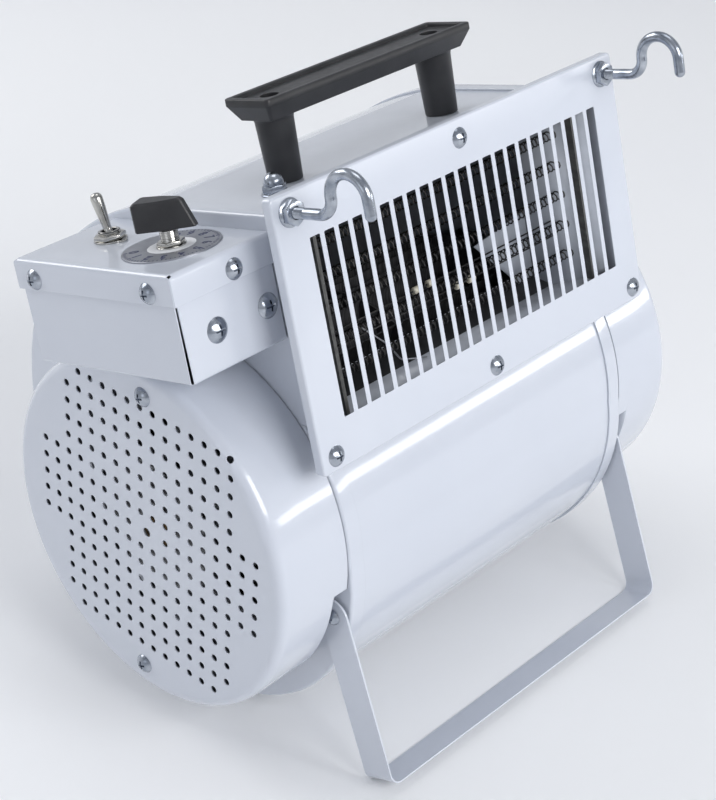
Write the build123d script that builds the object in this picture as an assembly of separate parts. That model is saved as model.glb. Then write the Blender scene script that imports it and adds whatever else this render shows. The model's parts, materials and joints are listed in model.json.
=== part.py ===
from build123d import *
import math
import os

# Portable centrifugal fan heater, in millimetres.
# Body frame: X along the fan axis, -Y out of the grille, +Z up in the grille's plane, origin on the fan axis.
# The finished heater is tipped back by BODY_TILT, so it stands on the scroll's belly and on its stand.

BODY_TILT = 15.0
SHEET = 1.2
PROUD = 1.0

# Scroll casing: a constant nose below the outlet, then a spiral that ends in the flat top.
CASE_W = 246.0
HALF = CASE_W / 2
NOSE_R = 107.3
SPIRAL_START = -0.2
SPIRAL_END = -1.5 * math.pi
SPIRAL_STEPS = 12
SPIRAL_GROWTH = 14.7
DUCT_BOTTOM = 57.0
DUCT_TOP = 174.0
DUCT_FRONT = 116.0
FLANGE_W = 11.0
INLET_R = 74.0
INLET_LIP_R = 66.0
RIM_W = 6.0
DEPTH_SAMPLES = 400

# Perforated drum over each inlet. The hole pattern is leaned, and sits a little forward of the axis.
DRUM_R = 106.5
DRUM_DEPTH = 51.0
DRUM_ROUND = 6.0
DRUM_END = HALF + DRUM_DEPTH
HOLE_R = 2.1
HOLE_COLUMNS = 9
HOLE_COLUMN_PITCH = 9.81
HOLE_ROW_PITCH = 11.36
HOLE_TURN = 17.8
HOLE_SHIFT_Y = -3.5
HOLE_SHIFT_Z = 2.9
CENTRE_HOLE_R = 2.8
LONG_ROWS = 7
SHORT_ROWS = 6
SIDE_ROWS = 2
RIM_HOLE = (-84.0, 56.8)
DRUM_SCREW_R = 91.0
DRUM_SCREW_LEN = 8.0
DRUM_POST_R = 3.6
RECESS_R = 89.5
RECESS_DEPTH = 9.0
RECESS_FROM = -20.0
RECESS_TO = -88.0

# Domed cross-head screws and plain nuts.
SCREW_R = 5.8
SCREW_DOME = 3.3
SCREW_SHANK_R = 2.2
SCREW_LEN = 6.0
CROSS_W = 1.1
CROSS_DEPTH = 0.8
SMALL_HEAD_R = 4.4
NUT_EASE = 0.52
NUT_FOOT = 0.6

# Outlet grille and the frame behind it.
GRILLE_W = 281.7
GRILLE_LOW = 39.4
GRILLE_HIGH = 189.0
GRILLE_FACE = 119.6
GRILLE_LIP = 5.8
GRILLE_CORNER = 2.0
SLOT_COUNT = 23
SLOT_PITCH = 10.49
SLOT_W = 7.2
SLOT_LOW = 65.1
SLOT_HIGH = 162.4
GRILLE_SCREWS = [(2.0, 178.3), (-130.0, 47.7), (2.0, 47.0), (132.0, 47.4)]
FRAME_T = 1.5
FRAME_COLLAR = 12.0
FRAME_PLAY = 0.5
MOUTH_LEDGE = 3.0

# Hooks: a threaded stud out of the grille, a quick bend up, an arch, and a short drop.
HOOK_X = 129.0
HOOK_Z = 178.9
HOOK_ROD_R = 3.0
HOOK_TAIL = 12.0
HOOK_REACH = 30.9
HOOK_RISE = 21.5
HOOK_SPAN = 24.8
HOOK_DROP = 20.1
HOOK_BENDS = [9.2, 12.2, 12.3]
HOOK_NUT = 12.0
HOOK_NUT_T = 5.0
BACK_NUT = 8.5
HOOK_FLANGE_R = 7.6
HOOK_FLANGE_T = 1.4

# Handle on the flat top.
HANDLE_LEN = 166.0
HANDLE_W = 34.0
HANDLE_TOP = 222.0
HANDLE_BAR_H = 13.0
HANDLE_Y = -51.5
HANDLE_BEVEL = 5.0
HANDLE_RIM = 4.0
HANDLE_PANEL = 2.2
HANDLE_CORNER = 2.5
POST_X = 65.0
POST_TOP_R = 11.0
POST_FOOT_R = 9.5
HANDLE_SCREW_R = 2.0
HANDLE_BORE_R = 2.2
HANDLE_SINK_R = 5.2
HANDLE_SINK = 8.0
HANDLE_NUT = 8.0
HANDLE_NUT_T = 3.4

# Thermal cut-out under the roof, with its stud and cap nut.
CUTOUT_X = -87.0
CUTOUT_Y = -65.5
CUTOUT_STUD_R = 2.5
CUTOUT_DISC_R = 8.5
CUTOUT_CAP_R = 7.2
CUTOUT_NECK = 3.0
CUTOUT_DISC = 8.0
CUTOUT_CAP = 3.0
CUTOUT_TAB = (0.8, 6.4, 8.0)
CUTOUT_TAB_X = 4.0
DOME_NUT = 11.6
DOME_NUT_H = 6.0
DOME_R = 5.4
DOME_WASHER_R = 7.2
WASHER_T = 1.0

# Control box on the left side plate.
BOX_LEFT = -191.4
BOX_BACK = 28.8
BOX_FRONT = -93.8
BOX_LOW = 107.4
BOX_RIM = 163.6
LID_TOP = 165.7
LID_LIP = 16.5
LID_T = 1.5
LID_RELIEF_R = 1.7
BOX_SCREWS_X = (-168.6, -132.8)
BOX_SCREW_Z = 129.0
BOX_SCREW_R = 6.9
BOX_SCREW_SHANK_R = 2.4
BOX_SCREW_LEN = 9.0
LID_SCREWS_Y = (14.8, -76.5)
LID_FRONT_X = -151.0
LID_SCREW_Z = 155.3
TERMINAL_X = (-186.0, -146.0)
TERMINAL_Y = (-30.0, -14.0)
TERMINAL_H = 14.0
TERMINAL_WAYS = 4
TERMINAL_PITCH = 10.0
TERMINAL_SCREW_R = 2.2
TERMINAL_WIRE_R = 1.8
TERMINAL_WIRE_Z = 5.0
GLAND_X = -158.0
GLAND_Z = 130.0
GLAND_BORE_R = 5.0
GLAND_THREAD_R = 9.9
GLAND_HOLE_R = 10.0
GLAND_INSIDE = 10.0
GLAND_HEX = 24.0
GLAND_HEX_T = 5.0
GLAND_NOSE = (10.5, 8.0, 12.0)
GLAND_NUT_T = 4.5

# Toggle switch.
TOGGLE_X = -154.5
TOGGLE_Y = -6.5
TOGGLE_LEAN = 12.0
TOGGLE_PIVOT = LID_TOP + 3.0
TOGGLE_CASE = (18.0, 30.0, 19.0)
TOGGLE_HOLE_R = 6.0
TOGGLE_BUSH_R = 5.9
TOGGLE_BUSH_H = 5.5
TOGGLE_WASHER_R = 12.0
TOGGLE_NUT = 15.0
TOGGLE_NUT_T = 3.0
TOGGLE_TAG = (1.6, 5.0, 9.0)
TOGGLE_TAG_STEP = 9.0
LEVER_BALL_R = 3.9
LEVER_FOOT_R = 2.4
LEVER_TIP_R = 3.4
LEVER_LEN = 19.8
SOCKET_R = 4.2
SOCKET_MOUTH = (3.6, 4.6, 8.0)

# Rotary regulator, its dial and its pointer knob.
DIAL_X = -155.5
DIAL_Y = -56.5
DIAL_R = 26.3
DIAL_T = 0.8
REGULATOR_R = 19.0
REGULATOR_H = 26.0
REGULATOR_BUSH_R = 4.7
REGULATOR_BUSH_H = 8.4
REGULATOR_HOLE_R = 4.8
REGULATOR_TAG = (6.0, 0.8, 9.0)
REGULATOR_TAG_X = 10.0
REGULATOR_NUT = 13.0
REGULATOR_NUT_T = 2.4
REGULATOR_WASHER_R = 8.0
REGULATOR_WASHER_T = 0.8
SPINDLE_R = 3.0
SPINDLE_DOWN = 16.0
SPINDLE_BORE = 18.0
KNOB_TAIL = 15.4
KNOB_NOSE = 16.6
KNOB_TAIL_W = 15.0
KNOB_NOSE_W = 5.0
KNOB_H = 15.5
KNOB_SLOPE = 5.8
KNOB_CHAMFER = 1.0
KNOB_GAP = 10.2
KNOB_GRIP = 9.0
KNOB_TURN = -64.0

# Stand: a flat strip bent to a U, pivoting on two shoulder screws.
PIVOT_Y = -87.0
PIVOT_Z = -55.0
STRIP_W = 21.0
STRIP_T = 3.0
STAND_LEAN = 6.0
STAND_BEND_R = 7.0
STAND_GAP = 0.3
PIVOT_PIN_R = 3.0
PIVOT_HEAD_R = 5.0
PIVOT_NUT = 9.5
PIVOT_NUT_T = 4.4
RUNNING = 0.05

# Motor, shaft and fan wheel.
SHAFT_R = 4.0
SHAFT_LEFT = -168.0
SHAFT_RIGHT = 131.0
SHAFT_CHAMFER = 0.6
MOTOR_R = 42.0
MOTOR_LEFT = -164.0
MOTOR_LEN = 56.0
MOTOR_RIGHT = MOTOR_LEFT + MOTOR_LEN
MOTOR_WALL = 2.0
MOTOR_ROUND = 4.0
STATOR_INNER_R = 26.0
STATOR_INSET = 12.0
ROTOR_R = 25.4
ROTOR_INSET = 14.0
BEARING_R = 11.0
BEARING_LEN = 8.0
END_BEARING_LEN = 7.0
WHEEL_R = 82.0
WHEEL_W = 210.0
WHEEL_RIM_T = 1.5
BLADE_COUNT = 36
BLADE_DEPTH = 15.0
BLADE_T = 0.9
BLADE_LEAN = 4.5
BLADE_TIP = 4.0
BLADE_ROOT = 0.3
HUB_R = 13.0
HUB_HALF = 11.0
DISC_HALF = 1.0
ARM_COUNT = 3
ARM_R = 84.0
ARM_T = 1.6
ARM_ANGLE = 90.0
ARM_W = 11.0
ARM_RING = 4.0
ARM_SCREW_R = 79.0

# Heating elements in the outlet.
ELEMENT_R = 3.2
ELEMENT_ROWS = [78.0, 96.0, 114.0, 132.0, 150.0]
ELEMENT_Y = -99.0
ELEMENT_END = 9.0
SUPPORT_X = 108.0
BOARD_T = 2.4
BOARD_HALF = 12.0
LINK_T = 1.5
LINK_X = 7.5
LINK_EDGE = 5.0
BEAD_R = 6.0
BEAD_HALF = 6.0
GUIDE_INSET = 3.0
GUIDE_FRONT = -110.0
GUIDE_BEND = -90.0
GUIDE_BACK = -78.0
GUIDE_RISE = 16.0


def in_yz(face):
    """Stand a flat drawing, given as (y, z), in the YZ plane."""
    return Plane.YZ * face


def slab_x(face, x_low, x_high):
    """Extrude a (y, z) drawing from x_low to x_high."""
    return Pos(x_low, 0, 0) * extrude(in_yz(face), x_high - x_low)


def slab_y(face, y_low, y_high):
    """Extrude an (x, z) drawing from y_low to y_high."""
    return Pos(0, y_high, 0) * extrude(Plane.XZ * face, y_high - y_low)


def slab_z(face, z_low, z_high):
    """Extrude an (x, y) drawing from z_low to z_high."""
    return Pos(0, 0, z_low) * extrude(face, z_high - z_low)


def rod_x(radius, x_low, x_high, y=0.0, z=0.0):
    """A round bar along X."""
    return slab_x(Pos(y, z) * Circle(radius), x_low, x_high)


def rod_y(radius, y_low, y_high, x=0.0, z=0.0):
    """A round bar along Y."""
    return slab_y(Pos(x, z) * Circle(radius), y_low, y_high)


def rod_z(radius, z_low, z_high, x=0.0, y=0.0):
    """A round bar along Z."""
    return slab_z(Pos(x, y) * Circle(radius), z_low, z_high)


def block(x_low, x_high, y_low, y_high, z_low, z_high):
    """A box given by its six faces."""
    size = Box(x_high - x_low, y_high - y_low, z_high - z_low)
    return Pos((x_low + x_high) / 2, (y_low + y_high) / 2, (z_low + z_high) / 2) * size


def tube_x(outer, inner, x_low, x_high):
    """A ring along X."""
    return slab_x(Circle(outer) - Circle(inner), x_low, x_high)


def screw(length=SCREW_LEN, head_r=SCREW_R, shank_r=SCREW_SHANK_R):
    """A domed cross-head screw with its seat at the origin and its head towards +Z."""
    dome_r = (head_r ** 2 + SCREW_DOME ** 2) / (2 * SCREW_DOME)
    dome = Pos(0, 0, SCREW_DOME - dome_r) * Sphere(dome_r)
    head = dome & Pos(0, 0, SCREW_DOME / 2) * Cylinder(head_r, SCREW_DOME)
    cross = Box(head_r, CROSS_W, 2 * CROSS_DEPTH) + Box(CROSS_W, head_r, 2 * CROSS_DEPTH)
    shank = Pos(0, 0, -length / 2) * Cylinder(shank_r, length)
    return head + shank - Pos(0, 0, SCREW_DOME) * cross


def hex_nut(across, height, bore):
    """A plain nut from z = 0 up, with its edges eased."""
    blank = extrude(RegularPolygon(across / 2, 6, major_radius=False), height)
    eased = blank & Pos(0, 0, height / 2) * Cone(across * NUT_FOOT, across * NUT_EASE, height)
    return eased - Pos(0, 0, height / 2) * Cylinder(bore, height)


def strip(path, shift):
    """The face swept by a 2-D path when it moves by the shift."""
    moved = Pos(*shift) * path
    return make_face([path, Line(path @ 1, moved @ 1), moved, Line(path @ 0, moved @ 0)])


def towards(direction, x, y, z):
    """Place a +Z piece so that it points along the given direction."""
    return Plane(origin=(x, y, z), z_dir=direction).location


def mirrored(shape):
    """The same piece on the other side of the heater."""
    return mirror(shape, about=Plane.YZ)


def case_radius(angle, inset):
    """Scroll radius; the angle is measured from the outlet side towards +Z."""
    return NOSE_R + SPIRAL_GROWTH * max(0.0, SPIRAL_START - angle) - inset


def case_point(angle, inset):
    """A point (y, z) of the scroll's outline."""
    radius = case_radius(angle, inset)
    return (-radius * math.cos(angle), radius * math.sin(angle))


def case_face(inset, front=DUCT_FRONT):
    """The scroll's outline in (y, z), drawn inside the casing's skin by the inset."""
    floor = DUCT_BOTTOM + inset
    roof = DUCT_TOP - inset
    tongue = math.asin(floor / (NOSE_R - inset))
    step = (SPIRAL_END - SPIRAL_START) / SPIRAL_STEPS
    spiral = [case_point(SPIRAL_START + step * i, inset) for i in range(SPIRAL_STEPS)]
    middle = case_point((tongue + SPIRAL_START) / 2, inset)
    lines = [
        Line((-front, floor), case_point(tongue, inset)),
        ThreePointArc(case_point(tongue, inset), middle, spiral[0]),
        Spline(*spiral, (0, roof)),
        Line((0, roof), (-front, roof)),
        Line((-front, roof), (-front, floor)),
    ]
    return make_face(lines)


def scroll_wrap():
    """The rolled sheet that makes the scroll and the outlet duct's floor and roof."""
    reach = HALF - SHEET
    skin = slab_x(case_face(SHEET), -reach, reach)
    air = slab_x(case_face(2 * SHEET, DUCT_FRONT + SHEET), -reach - PROUD, reach + PROUD)
    wrap = skin - air
    low = DUCT_TOP - 3 * SHEET
    for x in (-POST_X, POST_X):
        wrap -= rod_z(HANDLE_BORE_R, low, DUCT_TOP, x, HANDLE_Y)
    return wrap - rod_z(CUTOUT_STUD_R, low, DUCT_TOP, CUTOUT_X, CUTOUT_Y)


def side_plate():
    """The right side plate, with a flange over the wrap and a round inlet."""
    panel = slab_x(case_face(0) - Circle(INLET_R), HALF - SHEET, HALF)
    ring = slab_x(case_face(0), HALF - FLANGE_W, HALF - SHEET)
    ring -= slab_x(case_face(SHEET, DUCT_FRONT + SHEET), HALF - FLANGE_W - PROUD, HALF)
    return panel + ring - rod_x(PIVOT_PIN_R, HALF - 2 * SHEET, HALF + PROUD, PIVOT_Y, PIVOT_Z)


def inlet_ring():
    """The bell mouth that leads air from the right drum into the wheel."""
    bend = INLET_R - INLET_LIP_R
    quarter = (Circle(bend) - Circle(bend - SHEET)) & Pos(bend, -bend) * Rectangle(2 * bend, 2 * bend)
    bell = Pos(HALF - SHEET - bend, INLET_R) * quarter
    rim = Pos(HALF - 1.5 * SHEET, INLET_R + RIM_W / 2) * Rectangle(SHEET, RIM_W)
    return revolve(bell + rim, Axis.X, 360)


def rows_at(far):
    """How many rows a column has on each side of the middle, by its distance out in columns."""
    if far < HOLE_COLUMNS - 3:
        return LONG_ROWS
    return SHORT_ROWS if far < HOLE_COLUMNS - 2 else SIDE_ROWS


def hole_places():
    """Hole centres of the perforated face, in upright columns, less the two beside the centre hole."""
    places = []
    for column in range(-HOLE_COLUMNS, HOLE_COLUMNS):
        across = column + 0.5
        rows = rows_at(abs(across))
        for row in range(-rows, rows + 1):
            if abs(across) > 1 or row != 0:
                places.append((across * HOLE_COLUMN_PITCH, row * HOLE_ROW_PITCH))
    return places


def sector(angle_from, angle_to):
    """A wide pie slice in (y, z); angles in degrees from the outlet side towards +Z."""
    def far(angle):
        turn = math.radians(angle)
        return (-2 * DRUM_R * math.cos(turn), 2 * DRUM_R * math.sin(turn))
    first = far(angle_from)
    last = far(angle_to)
    arc = ThreePointArc(first, far((angle_from + angle_to) / 2), last)
    return make_face([Line((0, 0), first), arc, Line(last, (0, 0))])


def drum_form(grow, lift):
    """The right drum's outer form, drawn smaller by grow, with the stand's recess."""
    drum = rod_x(DRUM_R - grow, HALF - grow, DRUM_END - grow)
    drum = fillet(drum.edges().sort_by(Axis.X)[-1], DRUM_ROUND - grow)
    recess = sector(RECESS_FROM + lift, RECESS_TO - lift) - Circle(RECESS_R - grow)
    return drum - slab_x(recess, HALF - 2 * SHEET, HALF + RECESS_DEPTH + grow)


def inlet_drum():
    """The right drum: a cup with a rounded shoulder and a perforated end."""
    shell = drum_form(0, 0) - drum_form(SHEET, SHEET)
    low = DRUM_END - DRUM_ROUND
    high = DRUM_END + PROUD
    pattern = Pos(0, HOLE_SHIFT_Y, HOLE_SHIFT_Z) * Rot(X=HOLE_TURN)
    holes = [pattern * rod_x(HOLE_R, low, high, y, z) for y, z in hole_places()]
    holes.append(pattern * rod_x(CENTRE_HOLE_R, low, high))
    holes.append(rod_x(HOLE_R, low, high, *RIM_HOLE))
    for side in (-1, 1):
        holes.append(Rot(X=HOLE_TURN) * rod_x(SCREW_SHANK_R, low, high, 0, side * DRUM_SCREW_R))
    return shell - holes


def drum_screws():
    """Two long domed screws hold each drum to its side plate."""
    right = []
    for side in (-1, 1):
        place = towards((1, 0, 0), DRUM_END, 0, side * DRUM_SCREW_R)
        right.append(Rot(X=HOLE_TURN) * place * screw(DRUM_SCREW_LEN))
    return right + [mirrored(piece) for piece in right]


def drum_posts():
    """Threaded pillars between the side plates and the drums' faces."""
    top = DRUM_END - SHEET
    right = []
    for side in (-1, 1):
        z = side * DRUM_SCREW_R
        pillar = rod_x(DRUM_POST_R, HALF, top, 0, z)
        pillar -= rod_x(SCREW_SHANK_R, top - DRUM_SCREW_LEN, top + PROUD, 0, z)
        right.append(Rot(X=HOLE_TURN) * pillar)
    return right + [mirrored(piece) for piece in right]


def front_holes(y_low, y_high):
    """The drills for the grille's screws and the hooks' studs, between two depths."""
    drills = [rod_y(SCREW_SHANK_R, y_low, y_high, x, z) for x, z in GRILLE_SCREWS]
    return drills + [rod_y(HOOK_ROD_R, y_low, y_high, x, HOOK_Z) for x in (-HOOK_X, HOOK_X)]


def outlet_frame():
    """The angle frame round the outlet's mouth that the grille is screwed to."""
    back = -GRILLE_FACE + SHEET
    wide = GRILLE_W - 2 * (SHEET + FRAME_PLAY)
    tall = GRILLE_HIGH - GRILLE_LOW - 2 * (SHEET + FRAME_PLAY)
    duct_h = DUCT_TOP - DUCT_BOTTOM
    middle = Pos(0, (DUCT_BOTTOM + DUCT_TOP) / 2)
    mouth = middle * Rectangle(CASE_W - 2 * MOUTH_LEDGE, duct_h - 2 * MOUTH_LEDGE)
    outside = middle * Rectangle(CASE_W + 2 * FRAME_T, duct_h + 2 * FRAME_T)
    blank = Pos(0, (GRILLE_LOW + GRILLE_HIGH) / 2) * RectangleRounded(wide, tall, GRILLE_CORNER)
    plate = slab_y(blank - mouth, back, back + FRAME_T)
    collar = slab_y(outside - middle * Rectangle(CASE_W, duct_h), back, back + FRAME_COLLAR)
    return plate + collar - front_holes(back - PROUD, back + 2 * FRAME_T)


def outlet_grille():
    """The slotted front plate with its edges folded back."""
    front = -GRILLE_FACE
    back = front + GRILLE_LIP
    tall = GRILLE_HIGH - GRILLE_LOW
    middle = Pos(0, (GRILLE_LOW + GRILLE_HIGH) / 2)
    outer = middle * RectangleRounded(GRILLE_W, tall, GRILLE_CORNER)
    inner = middle * RectangleRounded(GRILLE_W - 2 * SHEET, tall - 2 * SHEET, GRILLE_CORNER - SHEET)
    plate = slab_y(outer, front, back) - slab_y(inner, front + SHEET, back + PROUD)
    cuts = front_holes(front - PROUD, front + 2 * SHEET)
    for i in range(SLOT_COUNT):
        x = (i - (SLOT_COUNT - 1) / 2) * SLOT_PITCH
        low, high = x - SLOT_W / 2, x + SLOT_W / 2
        cuts.append(block(low, high, front - PROUD, front + 2 * SHEET, SLOT_LOW, SLOT_HIGH))
    return plate - cuts


def grille_screws():
    """Four domed screws through the grille into the outlet frame."""
    return [towards((0, -1, 0), x, -GRILLE_FACE, z) * screw() for x, z in GRILLE_SCREWS]


def hook():
    """The right hook: a threaded stud that bends up into an arch and turns down."""
    rise = GRILLE_FACE + HOOK_REACH
    drop = rise + HOOK_SPAN
    top = HOOK_Z + HOOK_RISE
    stud = [(GRILLE_FACE - HOOK_TAIL, HOOK_Z), (rise, HOOK_Z)]
    points = stud + [(rise, top), (drop, top), (drop, top - HOOK_DROP)]
    path = FilletPolyline(*points, radius=HOOK_BENDS)
    upright = Plane(origin=(HOOK_X, 0, 0), x_dir=(0, -1, 0), z_dir=(-1, 0, 0))
    bent = upright * path
    rod = sweep(Plane(origin=bent @ 0, z_dir=bent % 0) * Circle(HOOK_ROD_R), path=bent)
    return rod + Pos(*(bent @ 1)) * Sphere(HOOK_ROD_R)


def on_both_hooks(way, seat, nut):
    """The same nut on both hooks' studs."""
    return [towards(way, x, seat, HOOK_Z) * nut for x in (-HOOK_X, HOOK_X)]


def hook_front_nuts():
    """Flanged nuts on the hooks' studs, in front of the grille."""
    nut = hex_nut(HOOK_NUT, HOOK_NUT_T, HOOK_ROD_R)
    nut += slab_z(Circle(HOOK_FLANGE_R) - Circle(HOOK_ROD_R), 0, HOOK_FLANGE_T)
    return on_both_hooks((0, -1, 0), -GRILLE_FACE, nut)


def hook_back_nuts():
    """Plain nuts on the hooks' studs, behind the outlet frame."""
    seat = -GRILLE_FACE + SHEET + FRAME_T
    return on_both_hooks((0, 1, 0), seat, hex_nut(BACK_NUT, HOOK_NUT_T, HOOK_ROD_R))


def carry_handle():
    """A moulded bridge handle: a bar with bevelled sides, a recessed top and two posts."""
    high = HANDLE_TOP
    low = high - HANDLE_BAR_H
    rim = high - HANDLE_RIM
    foot = Pos(0, HANDLE_Y, low) * Rectangle(HANDLE_LEN - 2 * HANDLE_BEVEL, HANDLE_W - 2 * HANDLE_BEVEL)
    bar = loft([foot, Pos(0, HANDLE_Y, rim) * Rectangle(HANDLE_LEN, HANDLE_W)])
    bar += slab_z(Pos(0, HANDLE_Y) * Rectangle(HANDLE_LEN, HANDLE_W), rim, high)
    bar = fillet(bar.edges().filter_by(Axis.Z), HANDLE_CORNER)
    panel = Pos(0, HANDLE_Y) * Rectangle(HANDLE_LEN - 2 * HANDLE_RIM, HANDLE_W - 2 * HANDLE_RIM)
    bar -= slab_z(panel, high - HANDLE_PANEL, high + PROUD)
    seat = DUCT_TOP - SHEET
    tall = low + HANDLE_RIM - seat
    for x in (-POST_X, POST_X):
        bar += Pos(x, HANDLE_Y, seat + tall / 2) * Cone(POST_FOOT_R, POST_TOP_R, tall)
    for x in (-POST_X, POST_X):
        bar -= rod_z(HANDLE_BORE_R, seat - PROUD, high + PROUD, x, HANDLE_Y)
        bar -= rod_z(HANDLE_SINK_R, high - HANDLE_SINK, high + PROUD, x, HANDLE_Y)
    return bar


def handle_screws():
    """Long screws down through the handle's posts."""
    seat = HANDLE_TOP - HANDLE_SINK
    length = seat - DUCT_TOP + 2 * SHEET + 2 * HANDLE_NUT_T
    one = screw(length, SMALL_HEAD_R, HANDLE_SCREW_R)
    return [Pos(x, HANDLE_Y, seat) * one for x in (-POST_X, POST_X)]


def handle_nuts():
    """Nuts on the handle's screws, under the casing's roof."""
    nut = Rot(X=180) * hex_nut(HANDLE_NUT, HANDLE_NUT_T, HANDLE_SCREW_R)
    return [Pos(x, HANDLE_Y, DUCT_TOP - 2 * SHEET) * nut for x in (-POST_X, POST_X)]


def dome_nut():
    """The cap nut that closes the thermal cut-out's stud on the roof."""
    cap = Sphere(DOME_R) & Pos(0, 0, DOME_R) * Box(2 * DOME_NUT, 2 * DOME_NUT, 2 * DOME_R)
    nut = hex_nut(DOME_NUT, DOME_NUT_H, CUTOUT_STUD_R) + Pos(0, 0, DOME_NUT_H - PROUD) * cap
    nut -= Pos(0, 0, DOME_NUT_H / 2) * Cylinder(CUTOUT_STUD_R, DOME_NUT_H)
    return Pos(CUTOUT_X, CUTOUT_Y, DUCT_TOP - SHEET + WASHER_T) * nut


def dome_nut_washer():
    """The washer under the cap nut."""
    seat = DUCT_TOP - SHEET
    ring = Circle(DOME_WASHER_R) - Circle(CUTOUT_STUD_R)
    return Pos(CUTOUT_X, CUTOUT_Y, 0) * slab_z(ring, seat, seat + WASHER_T)


def tab(size, x, y, top):
    """A flat solder tab of the given thickness, width and length, hanging from top."""
    thick, wide, long = size
    return Pos(x, y, top - long / 2) * Box(thick, wide, long)


def thermal_cutout():
    """The disc thermostat that stops the heat, hung under the roof on its stud."""
    top = DUCT_TOP - 2 * SHEET
    disc = top - CUTOUT_NECK
    cap = disc - CUTOUT_DISC
    foot = cap - CUTOUT_CAP
    body = rod_z(CUTOUT_DISC_R, cap, disc, CUTOUT_X, CUTOUT_Y)
    body += rod_z(CUTOUT_CAP_R, foot, cap, CUTOUT_X, CUTOUT_Y)
    body += rod_z(CUTOUT_STUD_R, disc, DUCT_TOP + DOME_NUT_H - SHEET, CUTOUT_X, CUTOUT_Y)
    for x in (-CUTOUT_TAB_X, CUTOUT_TAB_X):
        body += tab(CUTOUT_TAB, CUTOUT_X + x, CUTOUT_Y, foot + PROUD)
    return body


def control_box():
    """An open sheet box on the left side plate."""
    front = BOX_FRONT + SHEET
    back = BOX_BACK - SHEET
    outer = block(BOX_LEFT, -HALF, BOX_FRONT, BOX_BACK, BOX_LOW, BOX_RIM)
    inner = block(BOX_LEFT + SHEET, -HALF - SHEET, front, back, BOX_LOW + SHEET, BOX_RIM + PROUD)
    case = outer - inner
    case -= rod_y(GLAND_HOLE_R, back - PROUD, BOX_BACK + PROUD, GLAND_X, GLAND_Z)
    for x in BOX_SCREWS_X:
        case -= rod_y(BOX_SCREW_SHANK_R, BOX_FRONT - PROUD, front + PROUD, x, BOX_SCREW_Z)
    return case - lid_drills(BOX_LEFT, BOX_FRONT)


def lid_drills(left, front):
    """Drills for the lid's screws, through a side wall and a front wall that start at left and front."""
    side = [rod_x(SCREW_SHANK_R, left - PROUD, left + 2 * LID_T, y, LID_SCREW_Z) for y in LID_SCREWS_Y]
    return side + [rod_y(SCREW_SHANK_R, front - PROUD, front + 2 * LID_T, LID_FRONT_X, LID_SCREW_Z)]


def control_box_lid():
    """The folded lid: its lips overlap the box on three sides, with relieved corners."""
    left = BOX_LEFT - LID_T
    front = BOX_FRONT - LID_T
    back = BOX_BACK + LID_T
    under = LID_TOP - LID_T
    low = LID_TOP - LID_LIP
    lid = block(left, -HALF, front, back, low, LID_TOP)
    lid -= block(BOX_LEFT, -HALF + PROUD, BOX_FRONT, BOX_BACK, low - PROUD, under)
    for y in (front, back):
        lid -= Pos(left, y, LID_TOP) * Sphere(LID_RELIEF_R)
    lid -= lid_drills(left, front)
    lid -= rod_z(TOGGLE_HOLE_R, under - PROUD, LID_TOP + PROUD, TOGGLE_X, TOGGLE_Y)
    return lid - rod_z(REGULATOR_HOLE_R, under - PROUD, LID_TOP + PROUD, DIAL_X, DIAL_Y)


def lid_screws():
    """Domed screws that hold the lid's lips."""
    left = BOX_LEFT - LID_T
    side = [towards((-1, 0, 0), left, y, LID_SCREW_Z) * screw() for y in LID_SCREWS_Y]
    return side + [towards((0, -1, 0), LID_FRONT_X, BOX_FRONT - LID_T, LID_SCREW_Z) * screw()]


def box_screws():
    """Two larger domed screws in the box's front wall, which carry the terminal block's rail."""
    one = screw(BOX_SCREW_LEN, BOX_SCREW_R, BOX_SCREW_SHANK_R)
    return [towards((0, -1, 0), x, BOX_FRONT, BOX_SCREW_Z) * one for x in BOX_SCREWS_X]


def terminal_block():
    """A moulded mains terminal strip on the box's floor."""
    floor = BOX_LOW + SHEET
    top = floor + TERMINAL_H
    front, back = TERMINAL_Y
    wire = floor + TERMINAL_WIRE_Z
    bar = block(*TERMINAL_X, front, back, floor, top)
    for i in range(TERMINAL_WAYS):
        x = TERMINAL_X[0] + (i + 0.5) * TERMINAL_PITCH
        bar -= rod_z(TERMINAL_SCREW_R, wire, top + PROUD, x, (front + back) / 2)
        bar -= rod_y(TERMINAL_WIRE_R, front - PROUD, back + PROUD, x, wire)
    return bar


def toggle_body():
    """The switch's moulded case, bushing and solder tags, under the lid."""
    under = LID_TOP - LID_T
    wide, long, tall = TOGGLE_CASE
    body = Pos(TOGGLE_X, TOGGLE_Y, under - tall / 2) * Box(wide, long, tall)
    body += rod_z(TOGGLE_BUSH_R, under - PROUD, LID_TOP + TOGGLE_BUSH_H, TOGGLE_X, TOGGLE_Y)
    for i in (-1, 0, 1):
        body += tab(TOGGLE_TAG, TOGGLE_X, TOGGLE_Y + i * TOGGLE_TAG_STEP, under - tall + PROUD)
    swing_room = Sphere(SOCKET_R) + Pos(0, 0, SOCKET_MOUTH[2] / 2) * Cone(*SOCKET_MOUTH)
    return body - Pos(TOGGLE_X, TOGGLE_Y, TOGGLE_PIVOT) * swing_room


def toggle_nut():
    """The hexagon nut that clamps the switch, on its washer."""
    return Pos(TOGGLE_X, TOGGLE_Y, LID_TOP + WASHER_T) * hex_nut(TOGGLE_NUT, TOGGLE_NUT_T, TOGGLE_BUSH_R)


def toggle_washer():
    """The washer between the nut and the lid."""
    ring = Circle(TOGGLE_WASHER_R) - Circle(TOGGLE_BUSH_R)
    return Pos(TOGGLE_X, TOGGLE_Y, 0) * slab_z(ring, LID_TOP, LID_TOP + WASHER_T)


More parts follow.
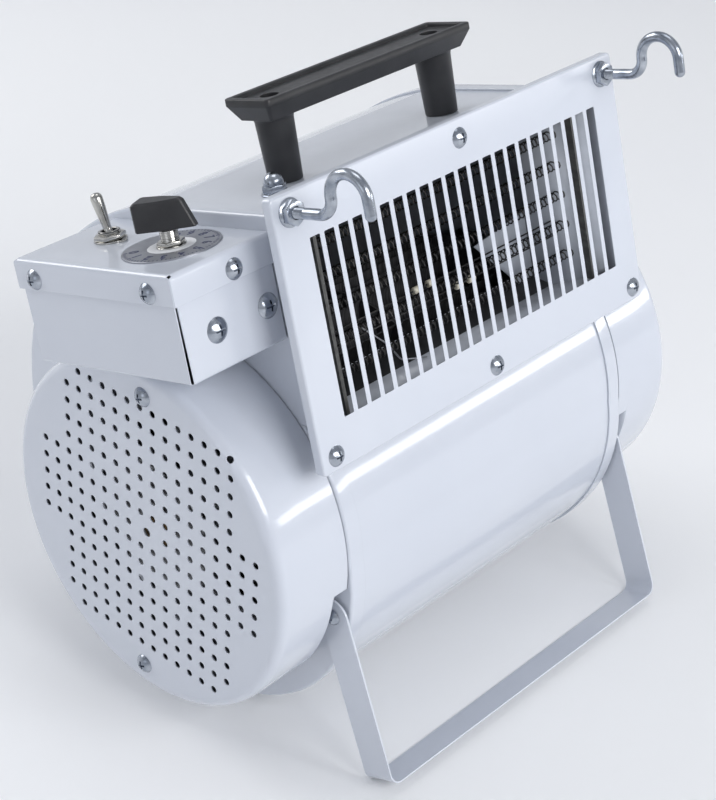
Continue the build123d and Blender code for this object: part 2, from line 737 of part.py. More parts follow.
def toggle_lever():
    """The switch's bat lever, on a ball that turns inside the bushing."""
    foot = LEVER_FOOT_R
    long = LEVER_LEN - foot
    bat = Pos(0, 0, foot + long / 2) * Cone(foot, LEVER_TIP_R, long)
    bat += Pos(0, 0, LEVER_LEN) * Sphere(LEVER_TIP_R)
    return Pos(TOGGLE_X, TOGGLE_Y, TOGGLE_PIVOT) * (Rot(X=-TOGGLE_LEAN) * (Sphere(LEVER_BALL_R) + bat))


def regulator_body():
    """The rotary power regulator's case and threaded bushing."""
    under = LID_TOP - LID_T
    case = rod_z(REGULATOR_R, under - REGULATOR_H, under, DIAL_X, DIAL_Y)
    case += rod_z(REGULATOR_BUSH_R, under - PROUD, LID_TOP + REGULATOR_BUSH_H, DIAL_X, DIAL_Y)
    for x in (-REGULATOR_TAG_X, REGULATOR_TAG_X):
        case += tab(REGULATOR_TAG, DIAL_X + x, DIAL_Y, under - REGULATOR_H + PROUD)
    return case - rod_z(SPINDLE_R + RUNNING, under - SPINDLE_BORE, LID_TOP + KNOB_GAP, DIAL_X, DIAL_Y)


def regulator_shaft():
    """The regulator's spindle, which carries the knob."""
    return rod_z(SPINDLE_R, LID_TOP - SPINDLE_DOWN, LID_TOP + KNOB_GAP + KNOB_GRIP, DIAL_X, DIAL_Y)


def regulator_nut():
    """The nut and washer that clamp the regulator and the dial plate."""
    washer = slab_z(Circle(REGULATOR_WASHER_R) - Circle(REGULATOR_BUSH_R), 0, REGULATOR_WASHER_T)
    nut = Pos(0, 0, REGULATOR_WASHER_T) * hex_nut(REGULATOR_NUT, REGULATOR_NUT_T, REGULATOR_BUSH_R)
    return Pos(DIAL_X, DIAL_Y, LID_TOP + DIAL_T) * (washer + nut)


def dial_plate():
    """The thin printed scale disc under the knob."""
    ring = Circle(DIAL_R) - Circle(REGULATOR_BUSH_R)
    return Pos(DIAL_X, DIAL_Y, 0) * slab_z(ring, LID_TOP, LID_TOP + DIAL_T)


def control_knob():
    """The pointer knob: wide at its tail, narrow and sloped at its nose, pressed on the spindle."""
    tail = KNOB_TAIL_W / 2
    nose = KNOB_NOSE_W / 2
    plan = [(-KNOB_TAIL, -tail), (KNOB_NOSE, -nose), (KNOB_NOSE, nose), (-KNOB_TAIL, tail)]
    side = [(-KNOB_TAIL, 0), (KNOB_NOSE, 0), (KNOB_NOSE - KNOB_SLOPE, KNOB_H), (-KNOB_TAIL, KNOB_H)]
    knob = extrude(make_face(Polyline(*plan, close=True)), KNOB_H)
    knob = knob & extrude(Plane.XZ * make_face(Polyline(*side, close=True)), KNOB_TAIL_W, both=True)
    knob = chamfer(knob.faces().sort_by(Axis.Z)[-1].edges(), KNOB_CHAMFER)
    knob -= Cylinder(SPINDLE_R, 2 * KNOB_GRIP)
    return Pos(DIAL_X, DIAL_Y, LID_TOP + KNOB_GAP) * (Rot(Z=KNOB_TURN) * knob)


def cable_gland():
    """The cable inlet on the box's back: a threaded gland body with an open bore."""
    body = rod_y(GLAND_THREAD_R, BOX_BACK - GLAND_INSIDE, BOX_BACK, GLAND_X, GLAND_Z)
    place = towards((0, 1, 0), GLAND_X, BOX_BACK, GLAND_Z)
    nose = Pos(0, 0, GLAND_HEX_T + GLAND_NOSE[2] / 2) * Cone(*GLAND_NOSE)
    body += place * (hex_nut(GLAND_HEX, GLAND_HEX_T, GLAND_BORE_R) + nose)
    end = BOX_BACK + 2 * GLAND_NOSE[2]
    return body - rod_y(GLAND_BORE_R, BOX_BACK - 2 * GLAND_INSIDE, end, GLAND_X, GLAND_Z)


def gland_nut():
    """The lock nut that holds the gland inside the box."""
    place = towards((0, -1, 0), GLAND_X, BOX_BACK - SHEET, GLAND_Z)
    return place * hex_nut(GLAND_HEX, GLAND_NUT_T, GLAND_THREAD_R)


def stand_place():
    """Where the stand's own frame, with its leg straight down, sits on the body."""
    return Pos(0, PIVOT_Y, PIVOT_Z) * Rot(X=-STAND_LEAN)


def case_depth():
    """How far the scroll's belly reaches below the fan axis, in the standing direction."""
    tilt = math.radians(BODY_TILT)
    step = (SPIRAL_END - SPIRAL_START) / DEPTH_SAMPLES
    points = [case_point(SPIRAL_START + step * i, 0) for i in range(DEPTH_SAMPLES)]
    return max(y * math.sin(tilt) - z * math.cos(tilt) for y, z in points)


def stand_length():
    """Leg length that puts the bar's rear edge level with the scroll's belly."""
    tilt = math.radians(BODY_TILT)
    slope = math.radians(BODY_TILT + STAND_LEAN)
    pivot = PIVOT_Y * math.sin(tilt) - PIVOT_Z * math.cos(tilt)
    return (case_depth() - pivot - STRIP_W / 2 * math.sin(slope)) / math.cos(slope)


def stand_bracket():
    """The flat strip bent to a U, with rounded eyes at its ends."""
    inside = HALF + STAND_GAP
    outside = inside + STRIP_T
    reach = stand_length()
    tall = reach + STRIP_W
    outer = Pos(0, -reach + tall / 2) * RectangleRounded(2 * outside, tall, STAND_BEND_R)
    inner = Pos(0, -reach + STRIP_T + tall / 2) * RectangleRounded(2 * inside, tall, STAND_BEND_R - STRIP_T)
    bent = slab_y(outer - inner, -STRIP_W / 2, STRIP_W / 2)
    leg = Circle(STRIP_W / 2) + Pos(0, -reach / 2) * Rectangle(STRIP_W, reach)
    bent = bent & slab_x(leg, -outside, outside)
    return stand_place() * (bent - rod_x(PIVOT_PIN_R + RUNNING, -outside - PROUD, outside + PROUD))


def stand_screws():
    """Shoulder screws that the stand's eyes turn on."""
    seat = HALF + 2 * STAND_GAP + STRIP_T
    length = 2 * STAND_GAP + STRIP_T + SHEET + PIVOT_NUT_T + PROUD
    right = towards((1, 0, 0), seat, PIVOT_Y, PIVOT_Z) * screw(length, PIVOT_HEAD_R, PIVOT_PIN_R)
    return [right, mirrored(right)]


def stand_nuts():
    """Nuts on the shoulder screws, inside the side plates."""
    nut = hex_nut(PIVOT_NUT, PIVOT_NUT_T, PIVOT_PIN_R)
    right = towards((-1, 0, 0), HALF - SHEET, PIVOT_Y, PIVOT_Z) * nut
    return [right, mirrored(right)]


def motor_can():
    """The motor's closed can in the left drum, open for the shaft at both ends."""
    can = fillet(rod_x(MOTOR_R, MOTOR_LEFT, MOTOR_RIGHT).edges(), MOTOR_ROUND)
    can -= rod_x(MOTOR_R - MOTOR_WALL, MOTOR_LEFT + MOTOR_WALL, MOTOR_RIGHT - MOTOR_WALL)
    return can - rod_x(BEARING_R, MOTOR_LEFT - PROUD, MOTOR_RIGHT + PROUD)


def motor_stator():
    """The wound stator ring inside the can."""
    return tube_x(MOTOR_R - MOTOR_WALL, STATOR_INNER_R, MOTOR_LEFT + STATOR_INSET, MOTOR_RIGHT - STATOR_INSET)


def rotor_core():
    """The rotor's iron on the shaft."""
    return tube_x(ROTOR_R, SHAFT_R, MOTOR_LEFT + ROTOR_INSET, MOTOR_RIGHT - ROTOR_INSET)


def bearing(x_low, x_high):
    """A sleeve bearing that the shaft runs in."""
    return tube_x(BEARING_R, SHAFT_R + RUNNING, x_low, x_high)


def motor_bearings():
    """The motor's two sleeve bearings."""
    return [bearing(MOTOR_LEFT, MOTOR_LEFT + BEARING_LEN), bearing(MOTOR_RIGHT - BEARING_LEN, MOTOR_RIGHT)]


def arm_turns():
    """The angles of the spiders' arms."""
    return [ARM_ANGLE + 360 / ARM_COUNT * i for i in range(ARM_COUNT)]


def arm_drills():
    """Drills through the right side plate for the spider's screws."""
    drill = rod_x(SCREW_SHANK_R, HALF - 3 * SHEET, HALF + PROUD, ARM_SCREW_R)
    return [Rot(X=turn) * drill for turn in arm_turns()]


def spider(inner):
    """A ring on three arms, screwed flat to the right side plate."""
    start = inner + ARM_RING / 2
    arm = Pos((start + ARM_R) / 2, 0) * Rectangle(ARM_R - start, ARM_W)
    arm -= Pos(ARM_SCREW_R, 0) * Circle(SCREW_SHANK_R)
    arms = Circle(inner + ARM_RING)
    for turn in arm_turns():
        arms += Rot(Z=turn) * arm
    return slab_x(arms - Circle(inner), HALF, HALF + ARM_T)


def arm_screws():
    """Screws that hold the two spiders to the side plates."""
    place = towards((1, 0, 0), HALF + ARM_T, ARM_SCREW_R, 0)
    right = [Rot(X=turn) * place * screw(SCREW_LEN, SMALL_HEAD_R) for turn in arm_turns()]
    return right + [mirrored(piece) for piece in right]


def fan_wheel():
    """The double-inlet wheel: forward-curved blades between rings, with a centre disc and hub."""
    reach = WHEEL_W / 2
    inner = WHEEL_R - BLADE_DEPTH
    wheel = tube_x(WHEEL_R, SHAFT_R, -DISC_HALF, DISC_HALF)
    wheel += tube_x(WHEEL_R, inner, -reach, -reach + WHEEL_RIM_T)
    wheel += tube_x(WHEEL_R, inner, reach - WHEEL_RIM_T, reach)
    wheel += rod_x(HUB_R, -HUB_HALF, HUB_HALF)
    middle = (BLADE_LEAN, WHEEL_R - BLADE_DEPTH / 2)
    lean = ThreePointArc((0, inner), middle, (BLADE_TIP, WHEEL_R - BLADE_ROOT))
    blade = slab_x(strip(lean, (BLADE_T, 0)), -reach, reach)
    wheel += [Rot(X=360 * i / BLADE_COUNT) * blade for i in range(BLADE_COUNT)]
    return wheel - rod_x(SHAFT_R, -HUB_HALF - PROUD, HUB_HALF + PROUD)


def element_boards():
    """Two upright insulating boards that carry the heating elements."""
    low = DUCT_BOTTOM + 2 * SHEET
    high = DUCT_TOP - 2 * SHEET
    boards = []
    for x in (-SUPPORT_X, SUPPORT_X):
        left, right = x - BOARD_T / 2, x + BOARD_T / 2
        board = block(left, right, ELEMENT_Y - BOARD_HALF, ELEMENT_Y + BOARD_HALF, low, high)
        for z in ELEMENT_ROWS:
            board -= rod_x(BEAD_R, left - PROUD, right + PROUD, ELEMENT_Y, z)
        boards.append(board)
    return boards


def element_beads():
    """Ceramic bushes that carry the element rods in the boards."""
    beads = []
    for x in (-SUPPORT_X, SUPPORT_X):
        for z in ELEMENT_ROWS:
            ring = Pos(ELEMENT_Y, z) * (Circle(BEAD_R) - Circle(ELEMENT_R))
            beads.append(slab_x(ring, x - BEAD_HALF, x + BEAD_HALF))
    return beads


def heating_elements():
    """Straight element rods across the outlet."""
    reach = SUPPORT_X + ELEMENT_END
    return [rod_x(ELEMENT_R, -reach, reach, ELEMENT_Y, z) for z in ELEMENT_ROWS]


def element_links():
    """Flat links that join neighbouring rods end to end, left and right in turn."""
    front, back = ELEMENT_Y - LINK_EDGE, ELEMENT_Y + LINK_EDGE
    side = -1
    links = []
    for low, high in zip(ELEMENT_ROWS, ELEMENT_ROWS[1:]):
        left = side * (SUPPORT_X + LINK_X) - LINK_T / 2
        link = block(left, left + LINK_T, front, back, low - LINK_EDGE, high + LINK_EDGE)
        for z in (low, high):
            link -= rod_x(ELEMENT_R, left - PROUD, left + LINK_T + PROUD, ELEMENT_Y, z)
        links.append(link)
        side = -side
    return links


def air_guide():
    """The sloping sheet that turns the air up from the tongue to the elements."""
    floor = DUCT_BOTTOM + 2 * SHEET
    top = floor + GUIDE_RISE
    line = [(GUIDE_FRONT, floor), (GUIDE_BEND, floor), (GUIDE_BACK, top), (GUIDE_BACK, top + SHEET),
            (GUIDE_BEND, floor + SHEET), (GUIDE_FRONT, floor + SHEET)]
    reach = SUPPORT_X - GUIDE_INSET
    return slab_x(make_face(Polyline(*line, close=True)), -reach, reach)


def rotor_shaft():
    """The shaft that carries the rotor and the fan wheel."""
    return chamfer(rod_x(SHAFT_R, SHAFT_LEFT, SHAFT_RIGHT).edges(), SHAFT_CHAMFER)


def whole(pieces):
    """One node's solids, as a single shape or a group of separate solids."""
    if isinstance(pieces, list):
        return Compound([solid for piece in pieces for solid in piece.solids()])
    return pieces


def body_nodes():
    """Every sub-part by name, in the body frame."""
    plate = side_plate() - arm_drills()
    ring = inlet_ring() - arm_drills()
    drum = inlet_drum()
    right_hook = hook()
    return {
        "scroll_wrap": scroll_wrap(),
        "side_plate_left": mirrored(plate),
        "side_plate_right": plate,
        "inlet_ring_left": mirrored(ring),
        "inlet_ring_right": ring,
        "inlet_drum_left": mirrored(drum),
        "inlet_drum_right": drum,
        "drum_posts": drum_posts(),
        "drum_screws": drum_screws(),
        "outlet_frame": outlet_frame(),
        "outlet_grille": outlet_grille(),
        "grille_screws": grille_screws(),
        "hook_left": mirrored(right_hook),
        "hook_right": right_hook,
        "hook_front_nuts": hook_front_nuts(),
        "hook_back_nuts": hook_back_nuts(),
        "carry_handle": carry_handle(),
        "handle_screws": handle_screws(),
        "handle_nuts": handle_nuts(),
        "thermal_cutout": thermal_cutout(),
        "cutout_dome_nut": dome_nut(),
        "cutout_washer": dome_nut_washer(),
        "control_box": control_box(),
        "control_box_lid": control_box_lid(),
        "lid_screws": lid_screws(),
        "box_screws": box_screws(),
        "terminal_block": terminal_block(),
        "toggle_switch": toggle_body(),
        "toggle_nut": toggle_nut(),
        "toggle_washer": toggle_washer(),
        "toggle_lever": toggle_lever(),
        "power_regulator": regulator_body(),
        "regulator_shaft": regulator_shaft(),
        "regulator_nut": regulator_nut(),
        "dial_plate": dial_plate(),
        "control_knob": control_knob(),
        "cable_gland": cable_gland(),
        "gland_lock_nut": gland_nut(),
        "stand_bracket": stand_bracket(),
        "stand_screws": stand_screws(),
        "stand_nuts": stand_nuts(),
        "motor_can": motor_can(),
        "motor_stator": motor_stator(),
        "rotor_core": rotor_core(),
        "rotor_shaft": rotor_shaft(),
        "motor_bearings": motor_bearings(),
        "motor_spider": mirrored(spider(MOTOR_R)),
        "end_bearing": bearing(HALF, HALF + END_BEARING_LEN),
        "bearing_spider": spider(BEARING_R),
        "spider_screws": arm_screws(),
        "fan_wheel": fan_wheel(),
        "element_boards": element_boards(),
        "element_beads": element_beads(),
        "heating_elements": heating_elements(),
        "element_links": element_links(),
        "air_guide": air_guide(),
    }


def standing(pieces):
    """Tip the body back on to its belly and stand, with the origin under its middle."""
    tipped = {name: Rot(X=-BODY_TILT) * whole(piece) for name, piece in pieces.items()}
    box = Compound(list(tipped.values())).bounding_box()
    base = Pos(-box.center().X, -box.center().Y, -box.min.Z)
    print("base shift", base.position)
    return {name: base * piece for name, piece in tipped.items()}


os.makedirs("parts", exist_ok=True)
for name, piece in standing(body_nodes()).items():
    export_step(piece, "parts/" + name + ".step")
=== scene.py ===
import json
import math

import bmesh
import bpy
from mathutils import Matrix, Vector
from mathutils.geometry import delaunay_2d_cdt


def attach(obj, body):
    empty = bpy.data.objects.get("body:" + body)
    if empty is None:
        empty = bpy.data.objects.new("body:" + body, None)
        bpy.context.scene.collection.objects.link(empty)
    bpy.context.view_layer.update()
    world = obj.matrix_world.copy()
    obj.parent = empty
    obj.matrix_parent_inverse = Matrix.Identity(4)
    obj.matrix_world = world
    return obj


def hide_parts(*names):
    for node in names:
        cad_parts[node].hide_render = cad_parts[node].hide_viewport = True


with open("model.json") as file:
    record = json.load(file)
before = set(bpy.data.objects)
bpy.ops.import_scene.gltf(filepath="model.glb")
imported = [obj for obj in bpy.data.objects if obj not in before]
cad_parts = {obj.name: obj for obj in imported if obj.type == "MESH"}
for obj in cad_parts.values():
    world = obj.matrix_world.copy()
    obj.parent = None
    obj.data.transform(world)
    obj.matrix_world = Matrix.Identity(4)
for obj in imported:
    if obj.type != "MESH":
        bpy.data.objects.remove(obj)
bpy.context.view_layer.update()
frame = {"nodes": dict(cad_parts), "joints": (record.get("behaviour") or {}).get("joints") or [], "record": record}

# A portable centrifugal fan heater. Pieces are drawn in millimetres in the heater's own body frame:
# X along the fan axis, -Y out of the grille, +Z up in the grille's plane, origin on the fan axis.
# BODY carries that frame into the shared frame, tipped back on the scroll's belly and the stand.
TILT = math.radians(15)
MM = 0.001
AXIS = next(j["pos_m"] for j in frame["joints"] if j["name"] == "fan_spin")
BODY = Matrix.Translation(AXIS) @ Matrix.Rotation(-TILT, 4, "X") @ Matrix.Scale(MM, 4)

# Sheet metal: its thickness, the steps of a quarter bend, and how many of them a tray's corner
# relief cuts square
SHEET = 1.2
BEND_STEPS = 6
RELIEF_STEPS = 4

# Casing
HALF = 123.0
NOSE_R = 107.3
SPIRAL_START = -0.2
SPIRAL_END = -1.5 * math.pi
SPIRAL_STEPS = 110
SPIRAL_GROWTH = 14.7
TONGUE_STEPS = 14
DUCT_BOTTOM = 57.0
DUCT_TOP = 174.0
DUCT_FRONT = 116.0
ROOF = DUCT_TOP - SHEET
FLANGE_W = 11.0
FOLD_R = 1.8
INLET_R = 74.0

# Drums: HOLE_ROWS counts the holes above and below the middle one, in the columns out from the
# centre line; FACE_STEPS is how far round the shoulder's steps the perforated end is carried.
DRUM_R = 106.5
DRUM_END = 174.0
DRUM_ROUND = 6.0
DRUM_STEPS = 144
DRUM_GAP = 0.7
HOLE_R = 2.1
HOLE_STEPS = 14
HOLE_ROWS = (7, 7, 7, 7, 7, 7, 6, 2, 2)
HOLE_COLUMN_PITCH = 9.81
HOLE_ROW_PITCH = 11.36
HOLE_TURN = math.radians(17.8)
HOLE_SHIFT = (-3.5, 2.9)
CENTRE_HOLE_R = 2.8
RIM_HOLE = (-86.6, 58.9)
HOLE_MARGIN = 0.4
SHOULDER_STEPS = 8
FACE_STEPS = 6
DRUM_SCREW_R = 91.0
RECESS_R = 89.5
RECESS_DEPTH = 9.0
RECESS_ARC = (math.radians(-20), math.radians(-88))
RECESS_EASE = 0.09
RECESS_RAMP = 4.0
RECESS_MARGIN = 2.5
RAMP_PITCH = 0.5
RAMP_ROWS = 11
SKIRT_LEVELS = (150.0, 137.0)

# Screws
SCREW_R = 5.8
BOX_SCREW_R = 6.9
SMALL_HEAD_R = 4.4
PIVOT_HEAD_R = 5.0
SCREW_DOME = 3.3
CROSS_W = 1.25
CROSS_DEPTH = 1.5
CROSS_ARM = 0.46
CROSS_TAPER = 0.7
SCREW_STEPS = 32
SCREW_RINGS = (0.985, 0.92, 0.8, 0.62)

# Nuts
NUT_STEPS = 48
NUT_CREST = 0.485
NUT_CHAMFER = 0.4
FLANGE_T = 1.2

# Grille and hooks
GRILLE_W = 281.7
GRILLE_LOW = 39.4
GRILLE_HIGH = 189.0
GRILLE_FACE = 119.6
GRILLE_LIP = 5.8
GRILLE_CORNER = 2.0
GRILLE_FOLD = 1.4
SLOT_COUNT = 23
SLOT_PITCH = 10.49
SLOT_W = 7.2
SLOT_LOW = 65.1
SLOT_HIGH = 162.4
SLOT_CORNER = 0.6
GRILLE_SCREWS = ((2, 178.3), (-130, 47.7), (2, 47.0), (132, 47.4))
HOOK_X = 129.0
HOOK_Z = 178.9
HOOK_ROD_R = 3.0
HOOK_STEPS = 28
HOOK_PATH = ((-107.6, 178.9), (-150.5, 178.9), (-150.5, 200.4), (-175.3, 200.4),
             (-175.3, 180.3))
HOOK_BENDS = (9.2, 12.2, 12.3)
HOOK_NUT = 12.0
HOOK_NUT_T = 5.0
HOOK_FLANGE_R = 7.6
HOOK_THREAD = (-131.0, -107.6)
LOCK_NUT = 10.0
LOCK_NUT_T = 8.0
LOCK_NUT_Y = -116.9

# Handle
HANDLE_LEN = 166.0
HANDLE_W = 34.0
HANDLE_TOP = 222.0
HANDLE_BAR_H = 13.0
HANDLE_Y = -51.5
HANDLE_BEVEL = 5.0
HANDLE_RIM = 4.0
HANDLE_PANEL = 2.2
POST_X = 65.0
POST_TOP_R = 11.0
POST_FOOT_R = 9.5
SINK_R = 5.2
SINK_DEPTH = 8.0

# Thermal cut-out's cap nut
CUTOUT = (-87.0, -65.5)
DOME_NUT = 11.6
DOME_NUT_H = 4.2
DOME_R = 5.6
DOME_RISE = 0.9
DOME_WASHER_R = 7.7
WASHER_T = 1.0

# Control box
BOX_LEFT = -191.4
BOX_BACK = 28.8
BOX_FRONT = -93.8
BOX_LOW = 107.4
BOX_RIM = 163.6
BOX_FOLD = 1.8
BOX_SEAM = 1.3
LID_TOP = 165.7
LID_LOW = 149.2
LID_T = 1.5
LID_FOLD = 2.7
LID_SEAM = 0.35
BOX_SCREWS_X = (-168.6, -132.8)
BOX_SCREW_Z = 129.0
LID_SCREWS_Y = (14.8, -76.5)
LID_FRONT_X = -151.0
LID_SCREW_Z = 155.3

# Toggle switch
TOGGLE_X = -154.5
TOGGLE_Y = -6.5
TOGGLE_LEAN = math.radians(12)
TOGGLE_PIVOT = LID_TOP + 3.0
TOGGLE_BUSH_R = 5.9
TOGGLE_BUSH_H = 5.5
TOGGLE_WASHER_R = 8.6
TOGGLE_WASHER_STRETCH = 1.15
TOGGLE_TAB = ((11.2, -2.4), (12.0, 0), (11.2, 2.4))
TOGGLE_NUT = 15.0
TOGGLE_NUT_T = 3.0

# Regulator, dial and knob
DIAL_X = -155.5
DIAL_Y = -56.5
DIAL_R = 26.3
DIAL_T = 0.8
DIAL_WHITE_R = 12.8
DIAL_FIRST = -225
DIAL_SWEEP = 270
DIAL_TICKS = 50
DIAL_MAJOR = 5
TICK_INSET = 1.3
MAJOR_TICK = (2.0, 0.42)
MINOR_TICK = (1.2, 0.24)
NUMBER_INSET = 7.0
NUMBER_SIZE = 7.6
NUMBER_BOLD = 0.12
MARK_T = 0.06
REGULATOR_BUSH_R = 4.7
REGULATOR_NUT = 13.0
REGULATOR_NUT_T = 2.4
REGULATOR_WASHER_R = 8.0
REGULATOR_WASHER_T = 0.8
KNOB_TAIL = 15.4
KNOB_NOSE = 16.6
KNOB_TAIL_W = 15.0
KNOB_NOSE_W = 5.0
KNOB_WAIST = -2.0
KNOB_WAIST_W = 0.86
KNOB_H = 15.5
KNOB_SLOPE = 5.8
KNOB_GAP = 10.2
KNOB_TURN = math.radians(-64)

# Stand
PIVOT_Y = -87.0
PIVOT_Z = -55.0
STRIP_W = 21.0
STRIP_T = 3.0
STAND_LEAN = math.radians(6)
STAND_REACH = 104.69
STAND_BEND_R = 7.0
STAND_GAP = 0.3
STAND_OUT = HALF + STAND_GAP + STRIP_T

# Heating coils, their lead wires, and the sheets round them
ELEMENT_ROWS = (78.0, 96.0, 114.0, 132.0, 150.0)
ELEMENT_Y = -99.0
ELEMENT_HALF = 112.0
COIL_R = 2.7
COIL_WIRE_R = 0.45
COIL_TURNS = 64
COIL_STEPS = 9
BOARD_X = 108.0
BEAD_R = 3.6
BEAD_HALF = 4.5
LEAD_Y = -94.0
LEAD_R = 0.5
LEAD_BEADS = ((-25, 99), (-13, 99), (9, 90), (20, 90))
LEAD_BEAD_R = 0.62
LEAD_BEAD_L = 0.6
LEAD_LOOP = ((-75, 96), (-58, 80), (-50, 68), (-30, 62))
LOOP_BENDS = (6, 6)
LOOP_Y = LEAD_Y - 4
LINER_T = 0.8
FLOOR_REACH = HALF - 3.5
FLOOR_RISE = 3.6
FLOOR_Y = (-112.0, -91.0)
FLOOR_LIP = (-80.0, 72.0)
SPLAY = ((86.0, -84.0), (119.0, -113.0))
SPLAY_LOW = 60
SPLAY_HIGH = 170
GUSSET = ((38.0, 102.0), (78.0, 61.0), (85.4, 61.0), (85.4, 108.0))

# Camera: where it stands and looks, in the body frame, and its lens
CAMERA_AT = (-768.44, -824.07, 425.69)
CAMERA_RIGHT = (0.67015, -0.72075, -0.17724)
CAMERA_DOWN = (-0.37060, -0.11804, -0.92126)
CAMERA_LENS = 89.28
CAMERA_SHIFT = (-0.0045, 0.0009)

# Studio, in metres: the floor and its swept edge; then the room light, at the horizon and overhead
STUDIO_R = 3.0
STUDIO_BEND = 1.2
STUDIO_H = 4.2
ROOM_DIM = (0.12, 0.13, 0.15)
ROOM_BRIGHT = (0.42, 0.44, 0.48)


# ---------------------------------------------------------------- materials

def surface_of(mat):
    """The material's principled shader."""
    return mat.node_tree.nodes["Principled BSDF"]


def shader(name, colour, rough, metal=0.0, **sockets):
    """A principled material whose uniform values sit on the shader's own sockets."""
    mat = bpy.data.materials.new(name)
    mat.use_nodes = True
    surface = surface_of(mat)
    surface.inputs["Base Color"].default_value = (*colour, 1)
    surface.inputs["Roughness"].default_value = rough
    surface.inputs["Metallic"].default_value = metal
    for socket, value in sockets.items():
        surface.inputs[socket.replace("_", " ")].default_value = value
    return mat


def add_node(mat, kind, **settings):
    """A node with its input values set."""
    node = mat.node_tree.nodes.new(kind)
    for key, value in settings.items():
        node.inputs[key].default_value = value
    return node


def grain(mat, scale, detail=4.0, stretch=(1, 1, 1)):
    """A noise field in object space, optionally stretched; returns its value output."""
    links = mat.node_tree.links
    where = add_node(mat, "ShaderNodeTexCoord")
    bend = add_node(mat, "ShaderNodeMapping")
    bend.inputs["Scale"].default_value = stretch
    noise = add_node(mat, "ShaderNodeTexNoise", Scale=scale, Detail=detail)
    links.new(where.outputs["Object"], bend.inputs["Vector"])
    links.new(bend.outputs["Vector"], noise.inputs["Vector"])
    return noise.outputs["Fac"]


def tint(mat, field, dark, light, low=0.3, high=0.7):
    """Colour the surface between two tones by a field."""
    ramp = add_node(mat, "ShaderNodeValToRGB")
    ramp.color_ramp.elements[0].position = low
    ramp.color_ramp.elements[1].position = high
    ramp.color_ramp.elements[0].color = (*dark, 1)
    ramp.color_ramp.elements[1].color = (*light, 1)
    links = mat.node_tree.links
    links.new(field, ramp.inputs["Fac"])
    links.new(ramp.outputs["Color"], surface_of(mat).inputs["Base Color"])


def roughen(mat, field, low, high):
    """Let the roughness wander between two values by a field."""
    span = add_node(mat, "ShaderNodeMapRange")
    span.inputs["To Min"].default_value = low
    span.inputs["To Max"].default_value = high
    links = mat.node_tree.links
    links.new(field, span.inputs["Value"])
    links.new(span.outputs["Result"], surface_of(mat).inputs["Roughness"])


def emboss(mat, field, strength, depth):
    """Raise the surface by a field."""
    bump = add_node(mat, "ShaderNodeBump", Strength=strength, Distance=depth)
    links = mat.node_tree.links
    links.new(field, bump.inputs["Height"])
    links.new(bump.outputs["Normal"], surface_of(mat).inputs["Normal"])


def white_enamel():
    mat = shader("white_enamel", (0.66, 0.69, 0.76), 0.22, Coat_Weight=0.8, Coat_Roughness=0.06)
    tint(mat, grain(mat, 7, 3), (0.585, 0.618, 0.69), (0.62, 0.652, 0.72))
    roughen(mat, grain(mat, 55, 5), 0.18, 0.28)
    emboss(mat, grain(mat, 420, 2), 0.03, 0.0006)
    return mat


def bright_zinc():
    mat = shader("bright_zinc", (0.74, 0.77, 0.81), 0.2, 1.0)
    tint(mat, grain(mat, 160, 5), (0.25, 0.28, 0.33), (0.5, 0.53, 0.58))
    roughen(mat, grain(mat, 700, 4), 0.14, 0.3)
    emboss(mat, grain(mat, 1500, 3), 0.05, 0.0002)
    return mat


def bright_nickel():
    mat = shader("bright_nickel", (0.72, 0.69, 0.61), 0.14, 1.0)
    tint(mat, grain(mat, 220, 4), (0.42, 0.412, 0.385), (0.57, 0.562, 0.535))
    roughen(mat, grain(mat, 900, 4), 0.09, 0.2)
    return mat


def galvanised():
    mat = shader("galvanised_sheet", (0.6, 0.62, 0.65), 0.35, 1.0)
    links = mat.node_tree.links
    where = add_node(mat, "ShaderNodeTexCoord")
    spangle = add_node(mat, "ShaderNodeTexVoronoi", Scale=140.0)
    links.new(where.outputs["Object"], spangle.inputs["Vector"])
    tint(mat, spangle.outputs["Distance"], (0.68, 0.70, 0.73), (0.50, 0.52, 0.56), 0.1, 0.9)
    roughen(mat, grain(mat, 90, 4), 0.26, 0.46)
    return mat


def black_plastic():
    mat = shader("black_plastic", (0.022, 0.022, 0.024), 0.42, Specular_IOR_Level=0.45)
    tint(mat, grain(mat, 60, 5), (0.017, 0.017, 0.019), (0.034, 0.034, 0.036))
    roughen(mat, grain(mat, 240, 5), 0.34, 0.5)
    emboss(mat, grain(mat, 1600, 3), 0.12, 0.00025)
    return mat


def machined_steel():
    mat = shader("machined_steel", (0.52, 0.53, 0.55), 0.3, 1.0)
    tint(mat, grain(mat, 90, 4), (0.42, 0.43, 0.45), (0.6, 0.61, 0.63))
    roughen(mat, grain(mat, 380, 4, (0.08, 1, 1)), 0.22, 0.42)
    return mat


def grey_dial():
    mat = shader("grey_dial", (0.42, 0.43, 0.46), 0.38, 0.65)
    tint(mat, grain(mat, 130, 4), (0.25, 0.26, 0.29), (0.34, 0.35, 0.385))
    roughen(mat, grain(mat, 900, 3), 0.32, 0.46)
    return mat


def dial_print(name, dark, light):
    mat = shader(name, dark, 0.5)
    tint(mat, grain(mat, 800, 3), dark, light)
    return mat


def moulded(name, dark, light, rough=0.42):
    mat = shader(name, dark, rough)
    tint(mat, grain(mat, 80, 4), dark, light)
    roughen(mat, grain(mat, 300, 4), rough - 0.06, rough + 0.08)
    emboss(mat, grain(mat, 1400, 3), 0.08, 0.0002)
    return mat


def lamination_iron():
    mat = shader("lamination_iron", (0.13, 0.13, 0.14), 0.5, 0.6)
    tint(mat, grain(mat, 900, 2, (1, 0.02, 0.02)), (0.07, 0.07, 0.08), (0.2, 0.2, 0.21))
    roughen(mat, grain(mat, 200, 4), 0.4, 0.65)
    return mat


